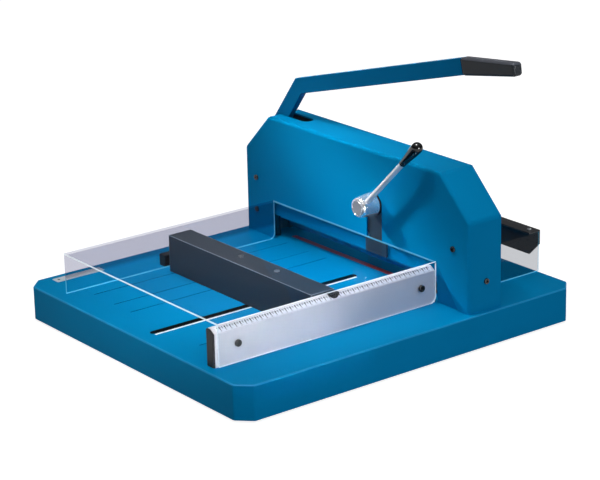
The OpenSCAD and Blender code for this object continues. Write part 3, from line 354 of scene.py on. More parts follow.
@dataclass(frozen=True)
class UpperGreySheet(ClearSheet):
    """Clear sheet that is greyer from a height upwards."""

    foot: str = "#fbfbfd"
    from_mm: float = 86.0
    to_mm: float = 97.0

    def tint(self, tree: Tree, spot: Socket) -> Socket:
        """Adds the see-through shader, clear at its foot and greyer above.

        Args:
            tree: The material's tree.
            spot: The place on the piece.

        Returns:
            The shader.
        """
        height = add_node(tree, "ShaderNodeSeparateXYZ", links={0: spot}).outputs[2]
        span = {"From Min": self.from_mm * MM, "From Max": self.to_mm * MM}
        smooth = {"interpolation_type": "SMOOTHSTEP"}
        greying = add_node(tree, "ShaderNodeMapRange", span, {"Value": height}, **smooth).outputs[0]
        ends = {6: linear(self.foot), 7: linear(self.colour)}
        tone = add_node(tree, "ShaderNodeMix", ends, {0: greying}, data_type="RGBA").outputs[2]
        return add_node(tree, "ShaderNodeBsdfTransparent", links={"Color": tone}).outputs[0]


# Polyester powder coat on sheet steel: satin, with an orange-peel grain of about 0.8 mm that is drawn three
# times as coarse so that it shows, and clouds of slightly paler blue
BLUE_COAT = GrainedCoat(
    "powder_coat_blue", Slot.BLUE_PAINT, "#007cae", 0.42, pale="#0286ba",
    grain_mm=2.4, relief_mm=0.05, gloss=0.015,
)
# The same coat with a painted highlight, on the upward bends of the table's sheet and on the lever bar's top:
# a little paler and smoother
BLUE_PAINTED_HIGHLIGHT = replace(
    BLUE_COAT, name="powder_coat_bend", colour="#128bc0", rough=0.34, pale="#1b93c7",
    relief_mm=0.03, gloss=0.15,
)
# The same coat on the lever bar and in the throat, which look away from the light: a deeper blue
BLUE_BAR = replace(BLUE_COAT, name="powder_coat_bar", colour="#036e9f", pale="#0675a8")
# The floor and upper edges of a scribed table line: the coat darkened nearly to navy, as painted shade
BLUE_LINE_SHADE = replace(
    BLUE_COAT, name="powder_coat_line", colour="#01243a", rough=0.6, pale="#022b44",
    relief_mm=0.03, gloss=0.1,
)
# Edging strip of natural polyethylene along the gauge's slot: waxy white
PALE_TRIM = GrainedCoat(
    "polyethylene_natural", Slot.PLATE, "#f1f5f8", 0.4, pale="#fafcfd", grain_mm=2.0, relief_mm=0.02,
)
# Powder coat in anthracite on the back gauge: a slightly finer grain, with more sheen
GREY_COAT = GrainedCoat(
    "powder_coat_anthracite", Slot.ANTHRACITE, "#2f353c", 0.45, pale="#363c44",
    grain_mm=2.2, relief_mm=0.05,
)
# The gauge's coat with a painted highlight over its rounded edges: a paler line
GREY_PAINTED_HIGHLIGHT = replace(
    GREY_COAT, name="powder_coat_edge", colour="#8b939c", rough=0.35, pale="#99a1aa",
    relief_mm=0.03, gloss=0.4,
)
# Nylon, injection moulded with a spark-eroded grain: matt black that greys at grazing angles
BLACK_NYLON = GrainedCoat(
    "moulded_nylon_black", Slot.BLACK_PLASTIC, "#17181a", 0.5, pale="#1d1e21",
    grain_mm=1.6, relief_mm=0.06,
)
# ABS lip of the front guard, moulded in a fine matt die: smooth black with soft highlights
BLACK_ABS = GrainedCoat(
    "moulded_abs_black", Slot.BLACK_PLASTIC, "#202124", 0.34, pale="#26272a",
    grain_mm=5.0, relief_mm=0.002, gloss=0.4, spread=0.02,
)
# Nylon grip in dark grey, with the same spark-eroded grain
GREY_NYLON = GrainedCoat(
    "moulded_nylon_grey", Slot.GRIP, "#2a2d30", 0.46, pale="#313438",
    grain_mm=1.6, relief_mm=0.05, gloss=0.2,
)
# The same nylon with a painted highlight on the grip's top: paler and smoother
GREY_NYLON_HIGHLIGHT = replace(
    GREY_NYLON, name="moulded_nylon_worn", colour="#53565e", rough=0.36, pale="#5d6069",
    grain_mm=2.2, relief_mm=0.03, gloss=0.3,
)
# Phenolic resin knob, moulded and tumbled: deep black with sharp highlights
BLACK_PHENOLIC = GrainedCoat(
    "phenolic_black", Slot.KNOB, "#060607", 0.1, pale="#09090a",
    grain_mm=9.0, relief_mm=0.01, gloss=0.5, spread=0.02,
)
# Steel blackened in hot oxide: near black with a brownish cast and an oily gloss
BLACK_OXIDE = GrainedCoat(
    "steel_black_oxide", Slot.BLACK_STEEL, "#141312", 0.34, pale="#1d1a18",
    grain_mm=1.2, relief_mm=0.02, gloss=0.5,
)
# Polypropylene cutting stick: extruded, red, waxy
RED_POLY = GrainedCoat(
    "polypropylene_red", Slot.STICK, "#8c1424", 0.4, pale="#981a2a", grain_mm=2.0, relief_mm=0.03,
)
# Moulded rubber: dead matt black
RUBBER = GrainedCoat(
    "rubber_black", Slot.RUBBER, "#141414", 0.8, pale="#1a1a1a", grain_mm=1.4, relief_mm=0.08, gloss=0.2,
)
# Cast polyurethane under the clamp: the same dull skin, in blue
BLUE_PAD = GrainedCoat(
    "polyurethane_blue", Slot.RUBBER, "#0a6c9a", 0.7, pale="#0d74a4",
    grain_mm=1.4, relief_mm=0.06, gloss=0.2,
)
# Screen ink on the ruler: flat dark grey
RULER_INK = GrainedCoat(
    "screen_ink_grey", Slot.RULER, "#171a20", 0.6, pale="#1f232a", grain_mm=0.8, relief_mm=0.005,
)
# Bevelled edge of the acrylic sheet, flame polished: a painted glow, white with a breath of blue, stands in
# for the light that the whole sheet gathers into it
SHEET_EDGE_WHITE_GLOW = GrainedCoat(
    "acrylic_polished_edge", Slot.ACRYLIC, "#dfeff6", 0.2, pale="#eef7fb",
    grain_mm=6.0, relief_mm=0.01, gloss=0.5, glow=0.45, cover=0.7,
)
# Sawn and scraped edge of the same sheet: more see-through, with a painted blue glow that stands in for the
# blue around it shining in
SHEET_EDGE_BLUE_GLOW = replace(
    SHEET_EDGE_WHITE_GLOW, name="acrylic_scraped_edge", colour="#5cc7ee", rough=0.3, pale="#70d1f3",
    gloss=0.3, glow=0.55, cover=0.42,
)
# Zinc plated steel, turned: pale grey with a blurred shine
ZINC_STEEL = LinedMetal(
    "steel_zinc_plated", Slot.PLAIN_STEEL, "#b9bdc2", 0.32, pale="#cdd1d6", along=Along.Z, line_mm=1.2,
)
# Round steel, blued and oiled: dark blue grey with a long soft highlight
BLUED_STEEL = LinedMetal(
    "steel_blued", Slot.PLAIN_STEEL, "#2b333b", 0.4, pale="#363f48", along=Along.X, line_mm=1.5,
)
# Hot rolled plate, phosphated: dark grey, dull, with faint rolling lines
DARK_PLATE = LinedMetal(
    "steel_phosphated", Slot.DARK_STEEL, "#404a53", 0.5, pale="#4b5660", along=Along.Z, line_mm=2.0,
    metallic=0.4,
)
# Tool steel, ground across the edge and blued against rust: steel blue with fine upright lines
GROUND_STEEL = LinedMetal(
    "tool_steel_blued", Slot.BLADE_STEEL, "#3a729b", 0.4, pale="#457fa9", along=Along.Z, line_mm=1.0,
    metallic=0.6,
)
# Chromium plate over a turned blank, satin: nearly white in the light, with blurred reflections
CHROME = LinedMetal(
    "chromium_satin", Slot.CHROME, "#e6ebf2", 0.2, pale="#f1f5f9", along=Along.Y, line_mm=3.0,
    relief_mm=0.0, spread=0.04, metallic=0.25,
)
# The same plate on the hub, bright: the blue of the housing and the white of the room in one body
CHROME_BRIGHT = replace(
    CHROME, name="chromium_bright", colour="#fafcfe", rough=0.1, pale="#ffffff", spread=0.03, metallic=0.74,
)
# The same plate on the hub's front, which is faced and polished: it mirrors the blue around it
CHROME_FACE = replace(
    CHROME, name="chromium_polished", colour="#dde3ee", rough=0.11, pale="#e9edf5", spread=0.03, metallic=0.7,
)
# Aluminium, extruded and anodised: soft silver with drawing lines along its length
ANODISED = LinedMetal(
    "aluminium_anodised", Slot.RAIL, "#d9d9dc", 0.6, pale="#e1e1e4", along=Along.Y, line_mm=1.6,
    run_mm=240.0, metallic=0.0,
)
# Anodised aluminium foil, satin: the ruler's pale face
RULER_FOIL = LinedMetal(
    "aluminium_satin_foil", Slot.RULER, "#e9ecf2", 0.45, pale="#f3f5f8", along=Along.Y, line_mm=1.4,
    metallic=0.1,
)
# Rolled aluminium plate, brushed: silver with lines along the plate
PLATE_SILVER = LinedMetal(
    "aluminium_brushed", Slot.PLATE, "#ccd2d8", 0.38, pale="#dce0e5", along=Along.Y, line_mm=1.2,
    metallic=0.3,
)
# Sintered bronze: dull golden brown
BRONZE = LinedMetal(
    "bronze_sintered", Slot.BRONZE, "#a4814a", 0.45, pale="#b39056", along=Along.Y, line_mm=1.5,
)
# Cast acrylic: clear, so that the table under it keeps its colour, and a mirror at a flat angle
ACRYLIC = ClearSheet("acrylic_cast_clear", Slot.ACRYLIC, "#f6f7fa", 0.03)
# The same sheet in the upright walls: clear at their feet and grey against the white above them
ACRYLIC_WALL = UpperGreySheet("acrylic_cast_wall", Slot.ACRYLIC, "#dddde4", 0.05)
# The same sheet in the front guard's right wall: evenly dull
ACRYLIC_DULL = ClearSheet("acrylic_cast_dull", Slot.ACRYLIC, "#dbdcde", 0.05)


def joined(node: str) -> Shape:
    """Copies a CAD node's triangles, joined up.

    Args:
        node: The CAD node.

    Returns:
        The joined mesh, which the caller frees.
    """
    bm = bmesh.new()
    bm.from_mesh(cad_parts[node].data)
    bmesh.ops.remove_doubles(bm, verts=bm.verts, dist=JOIN_MM * MM)
    return bm


def mark(bm: Shape, choose: Callable[[Face], int]) -> None:
    """Gives each face of a mesh the material number that is chosen for it."""
    for face in bm.faces:
        face.material_index = int(choose(face))


def cad_mesh(node: str) -> Shape:
    """Copies a CAD node's mesh, with its flat faces whole.

    Args:
        node: The CAD node.

    Returns:
        The mesh, which the caller frees.
    """
    bm = joined(node)
    bmesh.ops.dissolve_limit(
        bm, angle_limit=math.radians(FLAT_DEG), use_dissolve_boundaries=False,
        verts=bm.verts, edges=bm.edges, delimit={"NORMAL"},
    )
    mark(bm, lambda face: 0)
    return bm


def cut(bm: Shape, place: Triple, normal: Triple) -> None:
    """Cuts the faces of a mesh along a plane, and keeps both sides."""
    bmesh.ops.bisect_plane(
        bm, geom=bm.verts[:] + bm.edges[:] + bm.faces[:], plane_co=place, plane_no=normal
    )


def round_edges(
    bm: Shape,
    width_mm: float,
    least_mm2: float = 0.0,
    least_mm: float = 0.0,
    strip: int = -1,
    pick: Callable[[Edge], bool] | None = None,
    segments: int = 3,
) -> None:
    """Rounds the outward edges of a joined mesh.

    Args:
        bm: The mesh.
        width_mm: How far the rounding reaches in from each edge.
        least_mm2: An edge counts only between faces of this area or more.
        least_mm: An edge counts only from this length.
        strip: The material number of the new faces, or -1 for their neighbours'.
        pick: A further test of each edge.
        segments: How many strips make the rounding.
    """
    edges = [
        e
        for e in bm.edges
        if len(e.link_faces) == 2
        and e.is_convex
        and e.calc_face_angle(0.0) > math.radians(TURN_DEG)
        and e.calc_length() >= least_mm * MM
        and min(f.calc_area() for f in e.link_faces) >= least_mm2 * MM * MM
        and (pick is None or pick(e))
    ]
    bmesh.ops.bevel(
        bm, geom=edges, offset=width_mm * MM, offset_type="OFFSET", segments=segments, profile=0.5,
        affect="EDGES", clamp_overlap=False, material=int(strip),
    )


def bent(edge: Edge) -> bool:
    """Tells whether an edge is a bend of the sheet, between two faces that are broader than its rim."""
    return all(2 * f.calc_area() / f.calc_perimeter() > RIM_MM * MM for f in edge.link_faces)


def upright(edge: Edge) -> bool:
    """Tells whether an edge runs up and down."""
    return abs((edge.verts[0].co - edge.verts[1].co).normalized().z) > FACING


def as_mesh(name: str, bm: Shape) -> bpy.types.Mesh:
    """Turns a shape to a mesh.

    Args:
        name: The mesh's name.
        bm: The shape, which is freed.

    Returns:
        The mesh.
    """
    mesh = bpy.data.meshes.new(name)
    bm.to_mesh(mesh)
    bm.free()
    return mesh


def smooth_mesh(name: str, bm: Shape) -> bpy.types.Mesh:
    """Makes a mesh that is smooth over its roundings and flat elsewhere.

    Args:
        name: The mesh's name.
        bm: Its shape, which is freed.

    Returns:
        The mesh.
    """
    mesh = as_mesh(name, bm)
    mesh.shade_smooth()
    mesh.set_sharp_from_angle(angle=math.radians(SHARP_DEG))
    return mesh


def stand(name: str, data: bpy.types.ID | None) -> Piece:
    """Puts an object in the scene, at the origin.

    Args:
        name: The object's name.
        data: Its mesh, text, lamp or lens.

    Returns:
        The object.
    """
    made = bpy.data.objects.new(name, data)
    bpy.context.scene.collection.objects.link(made)
    return made


def settle(piece: Piece) -> None:
    """Makes a piece's modifiers part of its plain mesh.

    Args:
        piece: The piece.
    """
    graph = bpy.context.evaluated_depsgraph_get()
    shown = piece.evaluated_get(graph)
    mesh = bpy.data.meshes.new_from_object(shown, preserve_all_data_layers=True, depsgraph=graph)
    old = piece.data
    piece.modifiers.clear()
    piece.data = mesh
    mesh.name = piece.name
    bpy.data.meshes.remove(old)


def as_piece(name: str, bm: Shape, *finishes: Finish) -> Piece:
    """Makes a shape a piece, with even shading.

    Args:
        name: The piece's name.
        bm: Its shape, which is freed.
        *finishes: Its finishes, by material number.

    Returns:
        The piece, at the origin.
    """
    piece = stand(name, smooth_mesh(name, bm))
    for finish in finishes:
        piece.data.materials.append(finish.material())
    even = piece.modifiers.new("even", "WEIGHTED_NORMAL")
    even.keep_sharp = True
    settle(piece)
    return piece


def add_ring(bm: Shape, radii: list[float], height: float) -> list[bmesh.types.BMVert]:
    """Adds a ring of points about Z.

    Args:
        bm: The shape.
        radii: The radius of each point in turn.
        height: The height of them all.

    Returns:
        The points.
    """
    turns = [2 * math.pi * i / len(radii) for i in range(len(radii))]
    return [bm.verts.new((r * math.cos(t), r * math.sin(t), height)) for r, t in zip(radii, turns)]


def skin(bm: Shape, rings: list[list[bmesh.types.BMVert]]) -> None:
    """Joins each ring of points to the next with faces.

    Args:
        bm: The shape.
        rings: The rings, with one number of points, or a single point for a tip.
    """
    sides = max(len(ring) for ring in rings)
    for low, high in zip(rings, rings[1:]):
        for i in range(sides):
            j = (i + 1) % sides
            corners = [low[i % len(low)], low[j % len(low)], high[j % len(high)], high[i % len(high)]]
            bm.faces.new(list(dict.fromkeys(corners)))


def lathe(profile: list[tuple[float, float]], sides: int) -> Shape:
    """Turns a profile about Z.

    Args:
        profile: Radius and height of each point, in millimetres, from the bottom axis point to the top one.
        sides: How many faces go round.

    Returns:
        The closed shape.
    """
    bm = bmesh.new()
    skin(bm, [add_ring(bm, [r * MM] * (sides if r else 1), z * MM) for r, z in profile])
    bmesh.ops.recalc_face_normals(bm, faces=bm.faces)
    return bm


def new_tree(name: str, inputs: dict[str, str]) -> tuple[Tree, bpy.types.Node]:
    """Starts a Geometry Nodes tree.

    Args:
        name: The tree's name.
        inputs: The kind of each named input, such as Float.

    Returns:
        The tree, and its input node.
    """
    tree = bpy.data.node_groups.new(name, "GeometryNodeTree")
    for label, kind in {"Geometry": "Geometry", **inputs}.items():
        tree.interface.new_socket(label, in_out="INPUT", socket_type=f"NodeSocket{kind}")
    tree.interface.new_socket("Geometry", in_out="OUTPUT", socket_type="NodeSocketGeometry")
    return tree, add_node(tree, "NodeGroupInput")


def end_tree(tree: Tree, shape: Socket, material: Socket) -> None:
    """Ends a Geometry Nodes tree in real geometry with a material.

    Args:
        tree: The tree.
        shape: The instances that it makes.
        material: The material for them.
    """
    real = add_node(tree, "GeometryNodeRealizeInstances", links={0: shape}).outputs[0]
    dressed = add_node(tree, "GeometryNodeSetMaterial", links={"Geometry": real, "Material": material})
    add_node(tree, "NodeGroupOutput", links={0: dressed.outputs[0]})


def grow(piece: Piece, tree: Tree, values: dict[str, Any]) -> None:
    """Runs a Geometry Nodes tree on a piece and keeps the result as its plain mesh.

    Args:
        piece: The piece that gives the points.
        tree: The tree.
        values: The tree's inputs by name.
    """
    sizes = piece.modifiers.new("grow", "NODES")
    sizes.node_group = tree
    places = {i.name: i.identifier for i in tree.interface.items_tree if i.in_out == "INPUT"}
    for label, value in values.items():
        sizes[places[label]] = value
    settle(piece)


@dataclass
class SubAssembly:
    """Some pieces of one body: CAD nodes with better edges and finishes, and what is added to them."""

    body: Body = Body.BASE
    pieces: list[Piece] = field(default_factory=list)

    def keep(self, piece: Piece, finish: Finish, *nodes: str) -> None:
        """Puts a finished piece on the body.

        Args:
            piece: The piece.
            finish: Its main finish, which is not used.
            *nodes: The CAD nodes that it stands for.
        """
        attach(piece, self.body.value)
        if nodes:
            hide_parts(*nodes)
        self.pieces.append(piece)

    def dress(self, node: str, bm: Shape, *finishes: Finish) -> Piece:
        """Stands a shape in a CAD node's place.

        Args:
            node: The CAD node.
            bm: The shape, which is freed.
            *finishes: Its finishes by material number, the main one first.

        Returns:
            The piece.
        """
        piece = as_piece(f"{node}_dressed", bm, *finishes)
        self.keep(piece, finishes[0], node)
        return piece

    def soften(self, node: str, finish: Finish, width_mm: float = 0.0, least_mm: float = 0.0) -> None:
        """Stands a smooth copy, with rounded edges where they have a width, in a CAD node's place.

        Args:
            node: The CAD node.
            finish: Its finish.
            width_mm: How far the rounding reaches in from each edge.
            least_mm: Edges count only from this length.
        """
        bm = cad_mesh(node)
        if width_mm:
            round_edges(bm, width_mm, least_mm=least_mm)
        self.dress(node, bm, finish)

    def paint(self, finish: Finish, *nodes: str) -> None:
        """Gives CAD nodes that stay as they are their finish.

        Args:
            finish: The finish.
            *nodes: The CAD nodes.
        """
        for node in nodes:
            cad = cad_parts[node]
            cad.data.materials.clear()
            cad.data.materials.append(finish.material())

    def build(self) -> None:
        """Builds the sub-assembly's pieces."""
        raise NotImplementedError


@dataclass
class Screw:
    """The head of a CAD screw: the middle of its underside, its outward direction, width and height."""

    at: Vector
    out: Vector
    width: float
    height: float


@dataclass
class SocketScrews:
    """Heads of socket screws, which a Geometry Nodes tree sets where the CAD has its screws.

    The head has diameter 1 and height 1. Its edge is the inset and depth of each point, in corners.
    """

    sides: int = 24
    corner: float = 0.06
    edge: Pairs = ((0.0, 2.4), (0.3, 0.7), (1.0, 0.0))
    socket: float = 0.25
    floor: float = 0.4
    rim_share: float = 0.47
    level_mm: float = 0.01

    def unit_head(self) -> Piece:
        """Makes a head that stands on Z = 0, with a hexagon socket.

        Returns:
            The head, which the caller removes.
        """
        bm = bmesh.new()
        rims = [(0.5, 0.0)]
        rims += [(0.5 - inset * self.corner, 1 - deep * self.corner) for inset, deep in self.edge]
        rings = [add_ring(bm, [r] * self.sides, z) for r, z in rims]
        sixth = math.pi / 3
        flat = self.socket * math.cos(sixth / 2)
        turns = [2 * math.pi * i / self.sides for i in range(self.sides)]
        reach = [flat / math.cos((t % sixth) - sixth / 2) for t in turns]
        rings += [add_ring(bm, reach, z) for z in (1.0, self.floor)]
        skin(bm, rings)
        bm.faces.new(rings[0][::-1])
        bm.faces.new(rings[-1])
        return stand("unit_head", smooth_mesh("unit_head", bm))

    def tree(self) -> Tree:
        """Makes the tree that sets heads on points, on its first use.

        Returns:
            The tree.
        """
        made = bpy.data.node_groups.get("screw_heads")
        if made is not None:
            return made
        inputs = {"Shape": "Object", "Diameter": "Float", "Height": "Float", "Finish": "Material"}
        tree, given = new_tree("screw_heads", inputs)
        points, shape, width, height, finish = given.outputs[:5]
        head = add_node(tree, "GeometryNodeObjectInfo", links={"Object": shape})
        turn = add_node(tree, "GeometryNodeInputNamedAttribute", {"Name": "turn"}, data_type="FLOAT_VECTOR")
        size = add_node(tree, "ShaderNodeCombineXYZ", links={0: width, 1: width, 2: height})
        links = {
            "Points": points,
            "Instance": head.outputs["Geometry"],
            "Rotation": turn.outputs["Attribute"],
            "Scale": size.outputs[0],
        }
        heads = add_node(tree, "GeometryNodeInstanceOnPoints", links=links)
        end_tree(tree, heads.outputs[0], finish)
        return tree

    def measure(self, node: str) -> list[Screw]:
        """Reads where a CAD node's screws are.

        Args:
            node: The CAD node.

        Returns:
            The screws.
        """
        bm = joined(node)
        found, seen = [], set()
        for start in bm.verts:
            if start in seen:
                continue
            part, heap = [], [start]
            seen.add(start)
            while heap:
                vert = heap.pop()
                part.append(vert.co.copy())
                fresh = [v for e in vert.link_edges if (v := e.other_vert(vert)) not in seen]
                seen.update(fresh)
                heap.extend(fresh)
            found.append(self.read(part))
        bm.free()
        return found

    def read(self, part: list[Vector]) -> Screw:
        """Reads one screw, whose axis is the one that the other two sides of its box are alike about.

        Args:
            part: The screw's points.

        Returns:
            The screw.
        """
        low = Vector(min(p[i] for p in part) for i in range(3))
        high = Vector(max(p[i] for p in part) for i in range(3))
        span = high - low
        odd = [abs(span[(i + 1) % 3] - span[(i + 2) % 3]) for i in range(3)]
        axis = odd.index(min(odd))
        middle = (low + high) / 2
        width = span[(axis + 1) % 3]
        rim = []
        for point in part:
            off = point - middle
            off[axis] = 0.0
            if off.length > self.rim_share * width:
                rim.append(point[axis])
        out = Vector((0.0, 0.0, 0.0))
        outward = max(rim) >= high[axis] - self.level_mm * MM
        out[axis] = 1.0 if outward else -1.0
        middle[axis] = min(rim) if outward else max(rim)
        return Screw(middle, out, width, max(rim) - min(rim))

    def build(self, owner: SubAssembly, node: str, finish: Finish) -> None:
        """Makes the screw heads that stand for a CAD node.

        Args:
            owner: The sub-assembly that they belong to.
            node: The CAD node.
            finish: Their finish.
        """
        screws = self.measure(node)
        name = f"{node}_heads"
        mesh = bpy.data.meshes.new(name)
        mesh.from_pydata([screw.at for screw in screws], [], [])
        turn = mesh.attributes.new("turn", "FLOAT_VECTOR", "POINT")
        for screw, place in zip(screws, turn.data):
            place.vector = Vector((0, 0, 1)).rotation_difference(screw.out).to_euler()
        head = self.unit_head()
        sizes = {"Diameter": screws[0].width, "Height": screws[0].height}
        piece = stand(name, mesh)
        grow(piece, self.tree(), {"Shape": head, "Finish": finish.material(), **sizes})
        bpy.data.meshes.remove(head.data)
        owner.keep(piece, finish, node)


@dataclass
class BaseTable(SubAssembly):
    """The table with its skirt, feet, cutting stick, gauge slot and bare plate.

    The rivets' dome is each point's share of the radius and its height.
    """

    bend_mm: float = 2.4
    top_mm: float = 64.0
    near_mm: float = 0.1
    line_edge_mm: float = 0.5
    line_floor_mm: float = 1.5
    line_wall_mm: float = 0.9
    slot_x_mm: tuple[float, float] = (22.0, 36.0)
    slot_y_mm: tuple[float, float] = (-330.0, 105.0)
    trim_mm: float = 4.6
    trim_high_mm: float = 0.15
    trim_off_mm: float = 0.2
    trim_in_mm: tuple[float, float] = (3.0, 7.0)
    trim_edge_mm: float = 0.05
    plate_corner_mm: float = 2.5
    plate_edge_mm: float = 0.2
    rivet_mm: float = 2.4
    rivet_in_mm: float = 8.0
    rivet_sides: int = 20
    rivet_dome: Pairs = ((0.0, -0.1), (1.0, -0.1), (1.0, 0.1), (0.8, 0.35), (0.4, 0.5), (0.0, 0.55))
    shade_end_mm: float = 38.0
    stick_edge_mm: float = 0.5
    bottom_edge_mm: float = 0.4
    foot_edge_mm: float = 1.0

    def part_of(self, face: Face) -> TablePart:
        """Tells which part of the table's skin a face is.

        Args:
            face: The face.

        Returns:
            The floor of a table line, a wall of the gauge's slot, which takes black as painted shade, or the
            coat elsewhere.
        """
        x, y, z = face.calc_center_median() / MM
        if face.normal.z > FACING:
            sunk = self.near_mm < self.top_mm - z < self.line_floor_mm
            return TablePart.LINE if sunk else TablePart.COAT
        spans = ((x, *self.slot_x_mm), (y, *self.slot_y_mm))
        inside = all(low - self.near_mm < at < high + self.near_mm for at, low, high in spans)
        return TablePart.SLOT if inside and abs(face.normal.z) < SIDEWAYS else TablePart.COAT

    def beside_line(self, edge: Edge) -> bool:
        """Tells whether an edge is the upper edge of a table line."""
        middles = [f.calc_center_median().z / MM for f in edge.link_faces if abs(f.normal.x) > FACING]
        return any(self.top_mm - self.line_wall_mm < z < self.top_mm for z in middles)

    def build(self) -> None:
        """Builds the table, its trim and its plate, and dresses what is under it."""
        bm = cad_mesh("base_table")
        mark(bm, self.part_of)
        line = TablePart.LINE
        # The lines' upper edges are rounded into strips of the same painted shade, so that the lines read
        # wider
        round_edges(bm, self.line_edge_mm, least_mm=30, strip=line, pick=self.beside_line, segments=1)
        # The sheet's bends are rounded into strips that take the painted highlight; those that face sideways
        # or down go back to the plain coat
        round_edges(bm, self.bend_mm, least_mm2=1500, least_mm=10, strip=TablePart.BEND, pick=bent)
        for face in bm.faces:
            if face.material_index == TablePart.BEND and face.normal.z < SIDEWAYS:
                face.material_index = TablePart.COAT
        # The gauge slot's walls take black nylon as painted shade
        self.dress("base_table", bm, BLUE_COAT, BLUE_PAINTED_HIGHLIGHT, BLUE_LINE_SHADE, BLACK_NYLON)
        self.build_trim()
        self.soften("bottom_plate", DARK_PLATE, self.bottom_edge_mm, least_mm=20)
        self.soften("rubber_feet", RUBBER, self.foot_edge_mm)
        self.build_stick()
        self.paint(DARK_PLATE, "base_ribs", "stick_holder", "gauge_track")
        SocketScrews().build(self, "feet_screws", ZINC_STEEL)
        self.build_plate()

    def build_stick(self) -> None:
        """Builds the cutting stick, whose right end is painted black as shade."""
        bm = cad_mesh("cutting_stick")
        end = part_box("cutting_stick")[1].x - self.shade_end_mm * MM
        cut(bm, (end, 0, 0), (1, 0, 0))
        mark(bm, lambda face: face.calc_center_median().x > end)
        round_edges(bm, self.stick_edge_mm, least_mm=5)
        self.dress("cutting_stick", bm, RED_POLY, BLACK_NYLON)

    def build_trim(self) -> None:
        """Builds the pale edging on the right of the gauge's slot, lower than the gauge's gap."""
        x = self.slot_x_mm[1] + self.trim_off_mm
        (y0, y1), (near, far) = self.slot_y_mm, self.trim_in_mm
        low = Vector((x, y0 + near, self.top_mm)) * MM
        high = Vector((x + self.trim_mm, y1 - far, self.top_mm + self.trim_high_mm)) * MM
        bm = bmesh.new()
        bmesh.ops.create_cube(bm, size=1.0, matrix=Matrix.LocRotScale((low + high) / 2, None, high - low))
        round_edges(bm, self.trim_edge_mm)
        self.keep(as_piece("slot_trim", bm, PALE_TRIM), PALE_TRIM)

    def build_plate(self) -> None:
        """Builds the bare plate with round corners, and its two rivets."""
        bm = cad_mesh("name_plate")
        round_edges(bm, self.plate_corner_mm, pick=upright)
        round_edges(bm, self.plate_edge_mm)
        self.dress("name_plate", bm, PLATE_SILVER)
        low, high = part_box("name_plate")
        bm = bmesh.new()
        for y in (low.y + self.rivet_in_mm * MM, high.y - self.rivet_in_mm * MM):
            dome = lathe([(share * self.rivet_mm, z) for share, z in self.rivet_dome], self.rivet_sides)
            part = as_mesh("rivet", dome)
            part.transform(Matrix.Translation(((low.x + high.x) / 2, y, high.z)))
            bm.from_mesh(part)
            bpy.data.meshes.remove(part)
        self.keep(as_piece("plate_rivets", bm, BLACK_OXIDE), BLACK_OXIDE)


@dataclass
class Housing(SubAssembly):
    """The housing's two covers, their screws and the frame inside."""

    front_bend_mm: float = 6.0
    back_bend_mm: float = 1.0

    def build(self) -> None:
        """Builds the covers and screws, and dresses the frame."""
        for node, bend in (("front_cover", self.front_bend_mm), ("back_cover", self.back_bend_mm)):
            bm = cad_mesh(node)
            round_edges(bm, bend, least_mm2=1800, least_mm=8, pick=bent, segments=6)
            self.dress(node, bm, BLUE_COAT)
        SocketScrews().build(self, "cover_screws", BLACK_OXIDE)
        self.paint(DARK_PLATE, "frame_plate", "left_cheek", "shaft_rings")
        self.paint(BLUE_BAR, "right_cheek", "throat_plate")
        self.paint(ZINC_STEEL, "lever_shaft", "link_shaft")
        self.paint(BLUED_STEEL, "clamp_columns")


@dataclass
class Lever(SubAssembly):
    """The cranked lever with its grip. What looks up by a share or more has a paler finish, which is a
    painted highlight.
    """

    body: Body = Body.LEVER
    arm_edge_mm: float = 1.2
    arm_highlight_up: float = 0.6
    grip_edge_mm: float = 5.0
    grip_highlight_up: float = 0.45

    def build(self) -> None:
        """Builds the arm and the grip."""
        bm = cad_mesh("lever_arm")
        round_edges(bm, self.arm_edge_mm, least_mm2=250, least_mm=8)
        # Faces that look up take the painted highlight
        mark(bm, lambda face: face.normal.z > self.arm_highlight_up)
        self.dress("lever_arm", bm, BLUE_BAR, BLUE_PAINTED_HIGHLIGHT)
        bm = cad_mesh("lever_grip")
        round_edges(bm, self.grip_edge_mm, least_mm2=10, segments=5)
        # Faces that look up take the painted highlight
        mark(bm, lambda face: face.normal.z > self.grip_highlight_up)
        self.dress("lever_grip", bm, GREY_NYLON, GREY_NYLON_HIGHLIGHT)
        self.paint(BRONZE, "lever_bushes")


@dataclass
class BladeCarrier(SubAssembly):
    """The blade on its carrier."""

    body: Body = Body.CARRIER

    def build(self) -> None:
        """Dresses the carrier and the blade."""
        self.paint(DARK_PLATE, "blade_carrier", "pin_rings")
        self.paint(ZINC_STEEL, "blade_bolts", "carrier_pins")
        self.paint(GROUND_STEEL, "blade")


@dataclass
class SwingLink(SubAssembly):
    """The link that keeps the blade level."""

    body: Body = Body.LINK

    def build(self) -> None:
        """Dresses the link."""
        self.paint(DARK_PLATE, "swing_link")
        self.paint(BRONZE, "link_bushes")


@dataclass
class Clamp(SubAssembly):
    """The clamp bar with what slides and turns in the housing's notch."""

    body: Body = Body.CLAMP
    slide_edge_mm: float = 0.4
    collar_edge_mm: float = 0.8

    def build(self) -> None:
        """Builds the pieces that show and dresses the others."""
        self.soften("slide_plate", DARK_PLATE, self.slide_edge_mm, least_mm=3)
        self.soften("clamp_collar", BLACK_NYLON, self.collar_edge_mm)
        self.paint(BLUE_COAT, "clamp_bar")
        self.paint(BLUE_PAD, "clamp_pad")
        self.paint(ZINC_STEEL, "slide_screws", "clamp_spindle")


